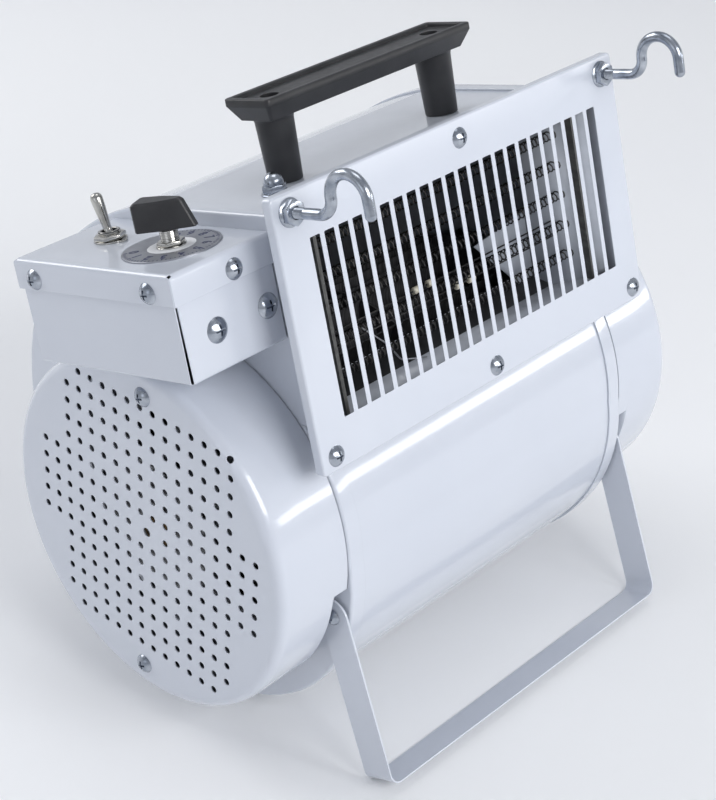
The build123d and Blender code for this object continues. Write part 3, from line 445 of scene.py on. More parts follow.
def sintered_bronze():
    mat = shader("sintered_bronze", (0.55, 0.36, 0.18), 0.45, 1.0)
    tint(mat, grain(mat, 1200, 4), (0.42, 0.27, 0.13), (0.62, 0.42, 0.22))
    emboss(mat, grain(mat, 2500, 2), 0.2, 0.0002)
    return mat


def mica_board():
    mat = shader("mica_board", (0.5, 0.52, 0.55), 0.5)
    tint(mat, grain(mat, 260, 5, (1, 0.3, 1)), (0.07, 0.07, 0.068), (0.14, 0.14, 0.135))
    roughen(mat, grain(mat, 160, 4), 0.35, 0.6)
    return mat


def ceramic():
    mat = shader("ceramic_bead", (0.83, 0.78, 0.64), 0.62)
    tint(mat, grain(mat, 240, 4), (0.74, 0.68, 0.53), (0.88, 0.84, 0.72))
    emboss(mat, grain(mat, 1800, 3), 0.15, 0.0002)
    return mat


def heated_steel():
    mat = shader("element_sheath", (0.34, 0.3, 0.27), 0.38, 1.0)
    tint(mat, grain(mat, 34, 4, (1, 0.3, 0.3)), (0.05, 0.05, 0.052), (0.14, 0.135, 0.13))
    roughen(mat, grain(mat, 500, 4), 0.28, 0.5)
    return mat


def floor_paint():
    mat = shader("studio_floor", (0.86, 0.865, 0.875), 0.75)
    tint(mat, grain(mat, 1.3, 2), (0.845, 0.85, 0.865), (0.875, 0.88, 0.885))
    return mat


WHITE = white_enamel()
ZINC = bright_zinc()
NICKEL = bright_nickel()
GALVANISED = galvanised()
BLACK = black_plastic()
STEEL = machined_steel()
DIAL = grey_dial()
DARK_INK = dial_print("dial_ink", (0.02, 0.027, 0.08), (0.045, 0.055, 0.13))
WHITE_INK = dial_print("dial_white", (0.82, 0.83, 0.85), (0.88, 0.88, 0.9))
NYLON = moulded("natural_nylon", (0.78, 0.75, 0.64), (0.86, 0.83, 0.73))
GREY_PLASTIC = moulded("grey_plastic", (0.17, 0.175, 0.185), (0.23, 0.235, 0.245))
IRON = lamination_iron()
BRONZE = sintered_bronze()
MICA = mica_board()
CERAMIC = ceramic()
SHEATH = heated_steel()
# Grey painted shade: white sheets inside the outlet, coloured as they look in shadow
SHADED_WALL_GREY = moulded("painted_shade_grey", (0.4, 0.43, 0.49), (0.47, 0.5, 0.56), 0.5)
# Near-black painted shade: the white sheet inside the scroll and the floor plate's upturned edge, coloured as they
# look deep in shadow
DEEP_SHADE = moulded("painted_deep_shade", (0.02, 0.021, 0.024), (0.045, 0.046, 0.05), 0.6)
# Mid-grey painted shade on the insides of the drums, the box and its lid
SHADE = moulded("painted_shade_inside", (0.2, 0.21, 0.24), (0.28, 0.29, 0.32), 0.6)
BLACKENED = lamination_iron()
BLACKENED.name = "blackened_steel"

SLOT_MATERIALS = {
    "white_enamel": WHITE,
    "zinc_plate": ZINC,
    "nickel_plate": NICKEL,
    "galvanised_sheet": GALVANISED,
    "black_plastic": BLACK,
    "natural_nylon": NYLON,
    "machined_steel": STEEL,
    "grey_dial": DIAL,
    "grey_plastic": GREY_PLASTIC,
    "lamination_iron": IRON,
    "bronze_bush": BRONZE,
    "mica_board": MICA,
    "ceramic_bead": CERAMIC,
    "element_sheath": SHEATH,
    "blackened_steel": BLACKENED,
}


def dress_frame():
    """Give every carried-over CAD node the material of its slot."""
    slots = {part["node"]: part["material_slot"] for part in frame["record"]["subparts"]}
    for name, node in frame["nodes"].items():
        node.data.materials.clear()
        node.data.materials.append(SLOT_MATERIALS[slots[name]])


dress_frame()


# ---------------------------------------------------------------- drawing tools, in millimetres

def circle(radius, steps, centre=(0, 0)):
    """Points of a circle."""
    turns = [2 * math.pi * i / steps for i in range(steps)]
    return [(centre[0] + radius * math.cos(a), centre[1] + radius * math.sin(a)) for a in turns]


def rectangle(low_x, high_x, low_y, high_y, corner=0.0, steps=4):
    """Points of a rectangle, with rounded corners if corner gives them a radius."""
    if not corner:
        return [(low_x, low_y), (high_x, low_y), (high_x, high_y), (low_x, high_y)]
    centres = [(high_x - corner, high_y - corner), (low_x + corner, high_y - corner),
               (low_x + corner, low_y + corner), (high_x - corner, low_y + corner)]
    points = []
    for turned, (x, y) in enumerate(centres):
        for i in range(steps + 1):
            a = (turned + i / steps) * math.pi / 2
            points.append((x + corner * math.cos(a), y + corner * math.sin(a)))
    return points


def grid(bm, rows, closed=False):
    """Skin rows of points with quads and return them; closed joins each row's ends."""
    made = [[bm.verts.new(p) for p in row] for row in rows]
    faces = []
    for low, high in zip(made, made[1:]):
        for i in range(len(low) if closed else len(low) - 1):
            j = (i + 1) % len(low)
            faces.append(bm.faces.new((low[i], low[j], high[j], high[i])))
    return faces


def quarter(radius, steps=BEND_STEPS):
    """A quarter bend as (inset, drop) pairs, from the flat face round to the turned wall."""
    turns = [math.pi / 2 / steps * i for i in range(steps + 1)]
    return [(radius * (1 - math.sin(a)), radius * (1 - math.cos(a))) for a in turns]


def lathe(bm, profile, place=Matrix(), steps=32):
    """Turn a profile of (radius, height) round the placed Z axis."""
    rows = [[place @ Vector((x, y, z)) for x, y in circle(r, steps)] for r, z in profile]
    grid(bm, rows, True)


def flat(bm, outline, holes, lay, extra=()):
    """A face with holes; lay puts its (u, v) points in space, and extra points let it bend."""
    loops = [outline, *holes]
    starts = [sum(len(loop) for loop in loops[:i]) for i in range(len(loops))]
    rings = [list(range(start, start + len(loop))) for start, loop in zip(starts, loops)]
    points = [Vector(p) for loop in [*loops, extra] for p in loop]
    found = delaunay_2d_cdt(points, [], rings, 2 if extra else 5, 1e-5)
    verts = [bm.verts.new(lay(*p)) for p in found[0]]
    for face in found[2]:
        bm.faces.new([verts[i] for i in face])


def walls(bm, loops, lay, low, high):
    """Close walls round each loop between two depths."""
    for loop in loops:
        grid(bm, [[lay(u, v, low) for u, v in loop], [lay(u, v, high) for u, v in loop]], True)


def towards(direction, at):
    """Place a +Z drawing so that it points along the direction."""
    return Matrix.Translation(at) @ Vector(direction).to_track_quat("Z", "Y").to_matrix().to_4x4()


def tube(bm, path, radius, steps, side):
    """A round rod along a path, with side a direction that the path never runs along."""
    rows = []
    for i, at in enumerate(path):
        run = (path[min(i + 1, len(path) - 1)] - path[max(i - 1, 0)]).normalized()
        across = run.cross(side).normalized()
        over = across.cross(run)
        rows.append([at + across * x + over * y for x, y in circle(radius, steps)])
    grid(bm, rows, True)
    for end in (rows[0], rows[-1]):
        bm.faces.new([bm.verts.new(p) for p in end])


def rounded(points, radii, steps=12):
    """A path through 2-D points with its inner corners rounded."""
    path = [Vector(points[0])]
    for before, corner, after, radius in zip(points, points[1:], points[2:], radii):
        corner = Vector(corner)
        come = (corner - Vector(before)).normalized()
        leave = (Vector(after) - corner).normalized()
        half = come.angle(leave) / 2
        cut = radius * math.tan(half)
        middle = corner + (leave - come).normalized() * (radius / math.cos(half))
        first = corner - come * cut - middle
        turn = 2 * half * (1 if come.cross(leave) > 0 else -1)
        for i in range(steps + 1):
            path.append(middle + Matrix.Rotation(turn * i / steps, 2) @ first)
    return path + [Vector(points[-1])]


def thread(bm, radius, low, high, place, pitch=1.0, depth=0.32):
    """A threaded rod as close ridges, with closed ends."""
    count = int((high - low) / pitch * 2)
    ridges = [(radius - depth * (i % 2), low + i * pitch / 2) for i in range(count + 1)]
    lathe(bm, [(0, low), *ridges, (radius - depth, high), (0, high)], place, 24)


def hex_nut(bm, across, height, bore, place, flange_r=0.0):
    """A chamfered hexagon nut with an open bore, on an optional round flange."""
    sixth = math.pi / 3
    turns = [2 * math.pi * i / NUT_STEPS for i in range(NUT_STEPS)]
    reach = [across / 2 / math.cos((a + sixth / 2) % sixth - sixth / 2) for a in turns]
    crest = across * NUT_CREST
    corners = [(r, max(0.0, r - crest) * NUT_CHAMFER) for r in reach]
    rows = [
        [(bore, 0)] * NUT_STEPS,
        [(r - 0.1, fall) for r, fall in corners],
        [(r, fall + 0.2) for r, fall in corners],
        [(r, height - 0.2 - fall) for r, fall in corners],
        [(r - 0.1, height - fall) for r, fall in corners],
        [(crest - 0.3, height)] * NUT_STEPS,
        [(bore + 0.5, height)] * NUT_STEPS,
        [(bore, height - 0.5)] * NUT_STEPS,
        [(bore, 0)] * NUT_STEPS,
    ]
    grid(bm, [[place @ Vector((r * math.cos(a), r * math.sin(a), z))
               for a, (r, z) in zip(turns, row)] for row in rows], True)
    if flange_r:
        edge = [(bore, 0), (flange_r, 0), (flange_r, FLANGE_T * 0.5),
                (flange_r - 0.5, FLANGE_T * 0.8), (across * 0.5, FLANGE_T * 1.3),
                (bore, FLANGE_T * 1.3), (bore, 0)]
        lathe(bm, edge, place, NUT_STEPS)


def screw(bm, head_r, place):
    """A domed screw head with a cross recess."""
    dome = SCREW_DOME
    ball = (head_r ** 2 + dome ** 2) / (2 * dome)
    arm = head_r * CROSS_ARM
    w = CROSS_W / 2

    def rise(x, y):
        return math.sqrt(ball ** 2 - x * x - y * y) - ball + dome
    cross = [(arm, -w), (arm, w), (w, w), (w, arm), (-w, arm), (-w, w),
             (-arm, w), (-arm, -w), (-w, -w), (-w, -arm), (w, -arm), (w, -w)]
    loops = [circle(head_r * part, SCREW_STEPS) for part in SCREW_RINGS] + [cross]
    starts = [SCREW_STEPS * i for i in range(len(loops))]
    order = [list(range(start, start + len(loop))) for start, loop in zip(starts, loops)]
    found = delaunay_2d_cdt([Vector(p) for loop in loops for p in loop], [], order, 1, 1e-5)
    verts = [bm.verts.new(place @ Vector((*p, rise(*p)))) for p in found[0]]
    for face in found[2]:
        middle = sum((found[0][i] for i in face), Vector((0, 0))) / 3
        near, far = sorted((abs(middle.x), abs(middle.y)))
        if near > w or far > arm:
            bm.faces.new([verts[i] for i in face])
    top = [place @ Vector((x, y, rise(x, y))) for x, y in cross]
    low = [place @ Vector((x * CROSS_TAPER, y * CROSS_TAPER, dome - CROSS_DEPTH)) for x, y in cross]
    grid(bm, [top, low], True)
    bm.faces.new([bm.verts.new(p) for p in low])
    rim = head_r * SCREW_RINGS[0]
    lathe(bm, [(rim, rise(rim, 0)), (head_r, 0.12), (head_r, 0), (0, 0)], place, SCREW_STEPS)


def piece(name, bm, skin, nodes=(), body="housing", sheet=0.0, bevel=0.0, mirror=False,
          crease=32, inner=1):
    """Turn a drawing into a named piece on a body, in place of the CAD nodes it stands for.

    sheet thickens it inwards, with skin[inner] on the inside; bevel softens edges sharper than
    crease degrees; mirror makes it the left one of a pair.
    """
    bmesh.ops.remove_doubles(bm, verts=bm.verts, dist=0.002)
    bmesh.ops.recalc_face_normals(bm, faces=bm.faces)
    mesh = bpy.data.meshes.new(name)
    bm.to_mesh(mesh)
    bm.free()
    if mirror:
        mesh.transform(Matrix.Scale(-1, 4, (1, 0, 0)))
        mesh.flip_normals()
    mesh.transform(BODY)
    mesh.shade_smooth()
    for mat in skin:
        mesh.materials.append(mat)
    obj = bpy.data.objects.new(name, mesh)
    bpy.context.scene.collection.objects.link(obj)
    if sheet:
        shell = obj.modifiers.new("sheet", "SOLIDIFY")
        shell.thickness = sheet * MM
        shell.offset = -1
        shell.use_even_offset = True
        shell.thickness_clamp = 1.0
        shell.material_offset = inner if len(skin) > 1 else 0
    if bevel:
        edge = obj.modifiers.new("edges", "BEVEL")
        edge.width = bevel * MM
        edge.segments = 2
        edge.limit_method = "ANGLE"
        edge.angle_limit = math.radians(crease)
        edge.harden_normals = True
    else:
        mesh.set_sharp_from_angle(angle=math.radians(crease))
    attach(obj, body)
    if nodes:
        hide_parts(*nodes)


# ---------------------------------------------------------------- casing

def case_point(angle, inset):
    """A point (y, z) of the scroll, by its angle from the outlet side towards +Z."""
    radius = NOSE_R + SPIRAL_GROWTH * max(0.0, SPIRAL_START - angle) - inset
    return (-radius * math.cos(angle), radius * math.sin(angle))


def case_line(inset):
    """The scroll's open outline from the outlet's floor round to the front of the roof."""
    floor = DUCT_BOTTOM + inset
    tongue = math.asin(floor / (NOSE_R - inset))
    points = [(-DUCT_FRONT, floor)]
    step = (SPIRAL_START - tongue) / TONGUE_STEPS
    points += [case_point(tongue + step * i, inset) for i in range(TONGUE_STEPS)]
    step = (SPIRAL_END - SPIRAL_START) / SPIRAL_STEPS
    points += [case_point(SPIRAL_START + step * i, inset) for i in range(SPIRAL_STEPS)]
    return points + [(0, DUCT_TOP - inset), (-DUCT_FRONT, DUCT_TOP - inset)]


def scroll_wrap():
    """The sheet wrapped round the scroll, with near-black painted shade on its inside."""
    bm = bmesh.new()
    line = case_line(SHEET)
    reach = HALF - SHEET
    grid(bm, [[(x, y, z) for y, z in line] for x in (-reach, -reach / 3, reach / 3, reach)])
    piece("scroll_sheet", bm, (WHITE, DEEP_SHADE), ("scroll_wrap",), sheet=SHEET,
          bevel=0.3)


def side_plate(mirror):
    """A scroll-shaped side with a turned-in flange and a round inlet."""
    bm = bmesh.new()
    bend = [*quarter(FOLD_R), (0, FLANGE_W)]
    grid(bm, [[(HALF - drop, y, z) for y, z in case_line(inset)] for inset, drop in bend])
    flat(bm, case_line(FOLD_R), [circle(INLET_R, 96)], lambda y, z: (HALF, y, z))
    side = "left" if mirror else "right"
    piece(f"casing_side_{side}", bm, (WHITE, WHITE), (f"side_plate_{side}",),
          sheet=SHEET, bevel=0.3, mirror=mirror)


def hole_centres():
    """The perforated face's hole centres in (y, z), in leaned columns."""
    lean = Matrix.Rotation(HOLE_TURN, 2)
    places = []
    for column in range(-len(HOLE_ROWS), len(HOLE_ROWS)):
        across = column + 0.5
        rows = HOLE_ROWS[int(abs(across))]
        for row in range(-rows, rows + 1):
            if abs(across) > 1 or row != 0:
                at = lean @ Vector((across * HOLE_COLUMN_PITCH, row * HOLE_ROW_PITCH))
                places.append(at + Vector(HOLE_SHIFT))
    return places


def ease(value):
    """A smooth step from 0 to 1."""
    value = min(1.0, max(0.0, value))
    return value * value * (3 - 2 * value)


def drum_radius(x, angle):
    """The skirt's radius, pressed in behind the stand's leg; angle is from +Y towards +Z."""
    around = (math.pi - angle + math.pi) % (2 * math.pi) - math.pi
    first, last = RECESS_ARC
    inside = ease((first - around) / RECESS_EASE) * ease((around - last) / RECESS_EASE)
    depth = ease((HALF + RECESS_DEPTH + RECESS_MARGIN - x) / RECESS_RAMP)
    return DRUM_R - (DRUM_R - RECESS_R) * inside * depth


def shoulder(y, z):
    """Bend what lies beyond the drum's flat face down over its rounded shoulder."""
    face_r = DRUM_R - DRUM_ROUND
    out = math.hypot(y, z)
    a = max(0.0, out - face_r) / DRUM_ROUND
    r = face_r + DRUM_ROUND * math.sin(a) if a else out
    return (DRUM_END - DRUM_ROUND * (1 - math.cos(a)), y * r / out, z * r / out)


def drum_face(bm):
    """The perforated end, carried over the shoulder so that it holds the outermost holes."""
    centres = [*hole_centres(), Vector(RIM_HOLE)]
    holes = [circle(HOLE_R, HOLE_STEPS, at) for at in centres]
    holes.append(circle(CENTRE_HOLE_R, 18, HOLE_SHIFT))
    step = DRUM_ROUND * math.pi / 2 / SHOULDER_STEPS
    face_r = DRUM_R - DRUM_ROUND
    rings = [circle(face_r + step * i, DRUM_STEPS) for i in range(-1, FACE_STEPS + 1)]
    extra = [p for ring in rings[:-1] for p in ring
             if min((Vector(p) - at).length for at in centres) > HOLE_R + HOLE_MARGIN]
    flat(bm, rings[-1], holes, shoulder, extra)


def inlet_drum(mirror):
    """A drum with a perforated end, a rounded shoulder and a skirt, with painted shade on its inside."""
    bm = bmesh.new()
    drum_face(bm)
    rows = []
    for inset, drop in quarter(DRUM_ROUND, SHOULDER_STEPS)[FACE_STEPS:]:
        rows.append([(DRUM_END - drop, y, z) for y, z in circle(DRUM_R - inset, DRUM_STEPS)])
    ramp = [HALF + RECESS_DEPTH + 3 - RAMP_PITCH * i for i in range(RAMP_ROWS)]
    for x in (*SKIRT_LEVELS, *ramp, HALF + DRUM_GAP):
        row = []
        for i in range(DRUM_STEPS):
            a = 2 * math.pi * i / DRUM_STEPS
            r = drum_radius(x, a)
            row.append((x, r * math.cos(a), r * math.sin(a)))
        rows.append(row)
    grid(bm, rows, True)
    side = "left" if mirror else "right"
    piece(f"perforated_drum_{side}", bm, (WHITE, SHADE),
          (f"inlet_drum_{side}",), sheet=SHEET, bevel=0.28, mirror=mirror, crease=48)


def drum_screws():
    """Two screws in each drum's end, on the line that the hole pattern leans along."""
    bm = bmesh.new()
    lean = Matrix.Rotation(HOLE_TURN, 2)
    for way in (-1, 1):
        for side in (-1, 1):
            y, z = lean @ Vector((0, side * DRUM_SCREW_R))
            screw(bm, SCREW_R, towards((way, 0, 0), (way * DRUM_END, y, z)))
    piece("drum_screw_heads", bm, (ZINC,), ("drum_screws",))


# ---------------------------------------------------------------- outlet

def grille():
    """The slotted front plate with its turned-back edge, and its screws."""
    bm = bmesh.new()
    wide = GRILLE_W / 2
    slots = []
    for i in range(SLOT_COUNT):
        x = (i - (SLOT_COUNT - 1) / 2) * SLOT_PITCH
        edges = (x - SLOT_W / 2, x + SLOT_W / 2, SLOT_LOW, SLOT_HIGH)
        slots.append(rectangle(*edges, SLOT_CORNER, 3))

    def outline(inset):
        corner = GRILLE_CORNER + (GRILLE_FOLD - inset) * 0.6
        return rectangle(-wide + inset, wide - inset, GRILLE_LOW + inset, GRILLE_HIGH - inset,
                         corner, 5)
    flat(bm, outline(GRILLE_FOLD), slots, lambda x, z: (x, -GRILLE_FACE, z))
    bend = [*quarter(GRILLE_FOLD), (0, GRILLE_LIP)]
    rows = [[(x, drop - GRILLE_FACE, z) for x, z in outline(inset)] for inset, drop in bend]
    grid(bm, rows, True)
    piece("slotted_grille", bm, (WHITE,), ("outlet_grille",), sheet=SHEET,
          bevel=0.22)
    bm = bmesh.new()
    for x, z in GRILLE_SCREWS:
        screw(bm, SCREW_R, towards((0, -1, 0), (x, -GRILLE_FACE, z)))
    piece("grille_screw_heads", bm, (ZINC,), ("grille_screws",))


def hook(mirror):
    """A bent rod with a domed tip and a threaded end through the grille."""
    bm = bmesh.new()
    front, back = HOOK_THREAD
    line = rounded(HOOK_PATH, HOOK_BENDS, 16)
    path = [Vector((HOOK_X, front, HOOK_Z))] + [Vector((HOOK_X, y, z)) for y, z in line[1:]]
    tube(bm, path, HOOK_ROD_R, HOOK_STEPS, Vector((1, 0, 0)))
    turns = [math.pi / 16 * i for i in range(9)]
    dome = [(HOOK_ROD_R * math.cos(a), HOOK_ROD_R * math.sin(a)) for a in turns]
    lathe(bm, dome, towards((0, 0, -1), path[-1]), HOOK_STEPS)
    thread(bm, HOOK_ROD_R, 0, back - front, towards((0, -1, 0), (HOOK_X, back, HOOK_Z)))
    side = "left" if mirror else "right"
    piece(f"hook_rod_{side}", bm, (ZINC,), (f"hook_{side}",), mirror=mirror)


def hook_nuts():
    """Flanged nuts in front of the grille and dark lock nuts behind it."""
    bm = bmesh.new()
    for x in (-HOOK_X, HOOK_X):
        place = towards((0, -1, 0), (x, -GRILLE_FACE, HOOK_Z))
        hex_nut(bm, HOOK_NUT, HOOK_NUT_T, HOOK_ROD_R, place, HOOK_FLANGE_R)
    piece("hook_flange_nuts", bm, (ZINC,), ("hook_front_nuts",))
    bm = bmesh.new()
    for x in (-HOOK_X, HOOK_X):
        place = towards((0, 1, 0), (x, LOCK_NUT_Y, HOOK_Z))
        hex_nut(bm, LOCK_NUT, LOCK_NUT_T, HOOK_ROD_R, place)
    piece("hook_lock_nuts", bm, (BLACKENED,), ("hook_back_nuts",))


def heating_coils():
    """Bare resistance wire wound into five coils across the outlet."""
    bm = bmesh.new()
    count = COIL_TURNS * COIL_STEPS
    for z in ELEMENT_ROWS:
        path = []
        for i in range(count + 1):
            a = 2 * math.pi * i / COIL_STEPS
            x = -ELEMENT_HALF + 2 * ELEMENT_HALF * i / count
            path.append(Vector((x, ELEMENT_Y + COIL_R * math.cos(a), z + COIL_R * math.sin(a))))
        tube(bm, path, COIL_WIRE_R, 5, Vector((1, 0, 0)))
    piece("heating_coils", bm, (SHEATH,), ("heating_elements",))


def ceramic_beads():
    """Small insulators on the coils' left ends, and two pairs of them on the lead wires."""
    bm = bmesh.new()
    bead = [(0, -BEAD_HALF), (BEAD_R - 0.9, -BEAD_HALF), (BEAD_R, -BEAD_HALF + 0.9),
            (BEAD_R, BEAD_HALF - 0.9), (BEAD_R - 0.9, BEAD_HALF), (0, BEAD_HALF)]
    for z in ELEMENT_ROWS:
        lathe(bm, bead, towards((1, 0, 0), (-BOARD_X, ELEMENT_Y, z)), 24)
    small = [(r * LEAD_BEAD_R, h * LEAD_BEAD_L) for r, h in bead]
    for x, z in LEAD_BEADS:
        lathe(bm, small, towards((1, 0, 0), (x, LEAD_Y, z)), 20)
    piece("ceramic_beads", bm, (CERAMIC,), ("element_beads",))


def lead_wires():
    """Thin wires by the coils: dark ones through the beads, a bright one low down and a loop."""
    side = Vector((0, 1, 0))

    def straight(z):
        tube(bm, [Vector((x, LEAD_Y, z)) for x in (-BOARD_X, BOARD_X)], LEAD_R, 8, side)
    bm = bmesh.new()
    for z in sorted({z for _, z in LEAD_BEADS}):
        straight(z)
    piece("lead_wires", bm, (SHEATH,))
    bm = bmesh.new()
    droop = [Vector((x, LOOP_Y, z)) for x, z in rounded(LEAD_LOOP, LOOP_BENDS, 8)]
    tube(bm, droop, LEAD_R, 8, side)
    straight(ELEMENT_ROWS[0])
    piece("bright_wires", bm, (STEEL,))


def duct_sheets():
    """The pale floor plate with its upturned edge in near-black painted shade, and the splayed side and its gusset
    in grey painted shade.
    """
    bm = bmesh.new()
    ends = (-FLOOR_REACH, FLOOR_REACH)
    floor = [(y, DUCT_BOTTOM + FLOOR_RISE) for y in FLOOR_Y]
    grid(bm, [[(x, y, z) for x in ends] for y, z in floor])
    # The upturned edge takes the near-black painted shade.
    for face in grid(bm, [[(x, y, z) for x in ends] for y, z in (floor[1], FLOOR_LIP)]):
        face.material_index = 1
    piece("outlet_floor_plate", bm, (WHITE, DEEP_SHADE), ("air_guide",),
          sheet=LINER_T, inner=0)
    bm = bmesh.new()
    grid(bm, [[(*end, z) for z in (SPLAY_LOW, SPLAY_HIGH)] for end in SPLAY])
    flat(bm, GUSSET, [], lambda x, z: (x, SPLAY[0][1], z))
    # The splayed side and its gusset are white sheets, coloured grey as painted shade.
    piece("splayed_side", bm, (SHADED_WALL_GREY,), sheet=LINER_T)


# ---------------------------------------------------------------- handle and cap nut

def carry_handle():
    """A bevelled bar with a sunken top panel, on two tapered posts, and its sunken screws."""
    bm = bmesh.new()
    high = HANDLE_TOP
    low = high - HANDLE_BAR_H
    panel = high - HANDLE_PANEL

    def outline(shrink, corner):
        half = HANDLE_LEN / 2 - shrink
        deep = HANDLE_W / 2 - shrink
        return rectangle(-half, half, HANDLE_Y - deep, HANDLE_Y + deep, corner, 5)
    # Inset, height and corner radius, from the bar's underside over its rim to the panel.
    levels = [(HANDLE_BEVEL, low, 1.6), (0.5, high - HANDLE_RIM - 0.8, 2.2),
              (0.0, high - HANDLE_RIM, 2.5), (0.0, high - 0.7, 2.5), (0.3, high - 0.2, 2.3),
              (0.8, high, 2.0), (HANDLE_RIM - 0.6, high, 1.4), (HANDLE_RIM, high - 0.4, 1.2),
              (HANDLE_RIM + 0.3, panel, 1.0)]
    grid(bm, [[(x, y, z) for x, y in outline(inset, corner)] for inset, z, corner in levels], True)
    sinks = [circle(SINK_R, 32, (x, HANDLE_Y)) for x in (-POST_X, POST_X)]
    flat(bm, outline(HANDLE_RIM + 0.3, 1.0), sinks, lambda x, y: (x, y, panel))
    flat(bm, outline(HANDLE_BEVEL, 1.6), [], lambda x, y: (x, y, low))
    sink = [(SINK_R, panel), (SINK_R, high - SINK_DEPTH), (0, high - SINK_DEPTH)]
    post = [(0, ROOF), (POST_FOOT_R - 0.5, ROOF), (POST_FOOT_R, ROOF + 0.6),
            (POST_TOP_R - 0.3, low - 2.5), (POST_TOP_R + 0.1, low - 0.8), (POST_TOP_R + 1.0, low),
            (POST_TOP_R + 1.0, low + 0.5), (0, low + 0.5)]
    for x in (-POST_X, POST_X):
        place = Matrix.Translation((x, HANDLE_Y, 0))
        lathe(bm, sink, place)
        lathe(bm, post, place, 40)
    piece("moulded_handle", bm, (BLACK,), ("carry_handle",), bevel=0.45,
          crease=38)
    bm = bmesh.new()
    for x in (-POST_X, POST_X):
        screw(bm, SMALL_HEAD_R, towards((0, 0, 1), (x, HANDLE_Y, high - SINK_DEPTH)))
    piece("handle_screw_heads", bm, (ZINC,), ("handle_screws",))


def cap_nut():
    """The domed nut and washer on the roof that hold the thermal cut-out."""
    x, y = CUTOUT
    place = Matrix.Translation((x, y, ROOF + WASHER_T))
    bm = bmesh.new()
    hex_nut(bm, DOME_NUT, DOME_NUT_H, 2.0, place)
    spring = DOME_NUT_H + DOME_RISE
    turns = [math.pi / 20 * i for i in range(11)]
    dome = [(DOME_R * math.cos(a), spring + DOME_R * math.sin(a)) for a in turns]
    foot = DOME_NUT_H - 1.5
    lathe(bm, [(0, foot), (DOME_R, foot), *dome], place, 40)
    piece("cap_nut", bm, (ZINC,), ("cutout_dome_nut",))
    bm = bmesh.new()
    washer = [(2.6, 0), (DOME_WASHER_R, 0), (DOME_WASHER_R, 0.7), (DOME_WASHER_R - 0.3, WASHER_T),
              (2.6, WASHER_T), (2.6, 0)]
    lathe(bm, washer, Matrix.Translation((x, y, ROOF)), 40)
    piece("cap_nut_washer", bm, (ZINC,), ("cutout_washer",))


# ---------------------------------------------------------------- control box

def tray(bm, left, right, front, back, panel, rim, fold, seam, sides):
    """A folded sheet tray: a flat panel with a wall turned up, or down, along each named side.

    fold is the bends' radius and seam the gap that each wall leaves at its ends.
    """
    way = 1 if rim > panel else -1
    open_left = left + fold if "left" in sides else left
    open_right = right - fold if "right" in sides else right
    low = front + fold
    high = back - fold
    flat(bm, rectangle(open_left, open_right, low, high), [], lambda x, y: (x, y, panel))
    profile = [(out, panel + way * up) for out, up in quarter(fold)] + [(0, rim)]
    first = left + seam if "left" in sides else left
    last = right - seam if "right" in sides else right
    edges = {
        "left": lambda out: [(left + out, front + seam), (left + out, back - seam)],
        "right": lambda out: [(right - out, front + seam), (right - out, back - seam)],
        "front": lambda out: [(first, front + out), (last, front + out)],
        "back": lambda out: [(first, back - out), (last, back - out)],
    }
    for side in sides:
        rows = []
        for step, (out, z) in enumerate(profile):
            (ax, ay), (bx, by) = edges[side](out)
            if step < RELIEF_STEPS and side in ("left", "right"):
                ay, by = low, high
            elif step < RELIEF_STEPS:
                ax, bx = open_left, open_right
            rows.append([(ax, ay, z), (bx, by, z)])
        grid(bm, rows)


def control_box():
    """The box on the casing's left side: a tray, its lid and their screws; tray and lid have painted shade on
    their insides.
    """
    bm = bmesh.new()
    tray(bm, BOX_LEFT, -HALF, BOX_FRONT, BOX_BACK, BOX_LOW, BOX_RIM, BOX_FOLD, BOX_SEAM,
         ("left", "right", "front", "back"))
    piece("box_tray", bm, (WHITE, SHADE), ("control_box",), sheet=SHEET,
          bevel=0.25)
    bm = bmesh.new()
    tray(bm, BOX_LEFT - LID_T, -HALF, BOX_FRONT - LID_T, BOX_BACK + LID_T, LID_TOP, LID_LOW,
         LID_FOLD, LID_SEAM, ("left", "front", "back"))
    piece("box_lid", bm, (WHITE, SHADE), ("control_box_lid",), sheet=LID_T,
          bevel=0.3)
    bm = bmesh.new()
    for y in LID_SCREWS_Y:
        screw(bm, SCREW_R, towards((-1, 0, 0), (BOX_LEFT - LID_T, y, LID_SCREW_Z)))
    screw(bm, SCREW_R, towards((0, -1, 0), (LID_FRONT_X, BOX_FRONT - LID_T, LID_SCREW_Z)))
    piece("lid_screw_heads", bm, (ZINC,), ("lid_screws",))
    bm = bmesh.new()
    for x in BOX_SCREWS_X:
        screw(bm, BOX_SCREW_R, towards((0, -1, 0), (x, BOX_FRONT, BOX_SCREW_Z)))
    piece("box_screw_heads", bm, (ZINC,), ("box_screws",))


def tab_washer():
    """The outline of a round washer with a blunt tab at each end, half drawn and half turned."""
    turns = [math.radians(a) for a in range(18, 163, 12)]
    wide = TOGGLE_WASHER_R * TOGGLE_WASHER_STRETCH
    half = [*TOGGLE_TAB, *[(wide * math.cos(a), TOGGLE_WASHER_R * math.sin(a)) for a in turns]]
    return half + [(-x, -y) for x, y in half]


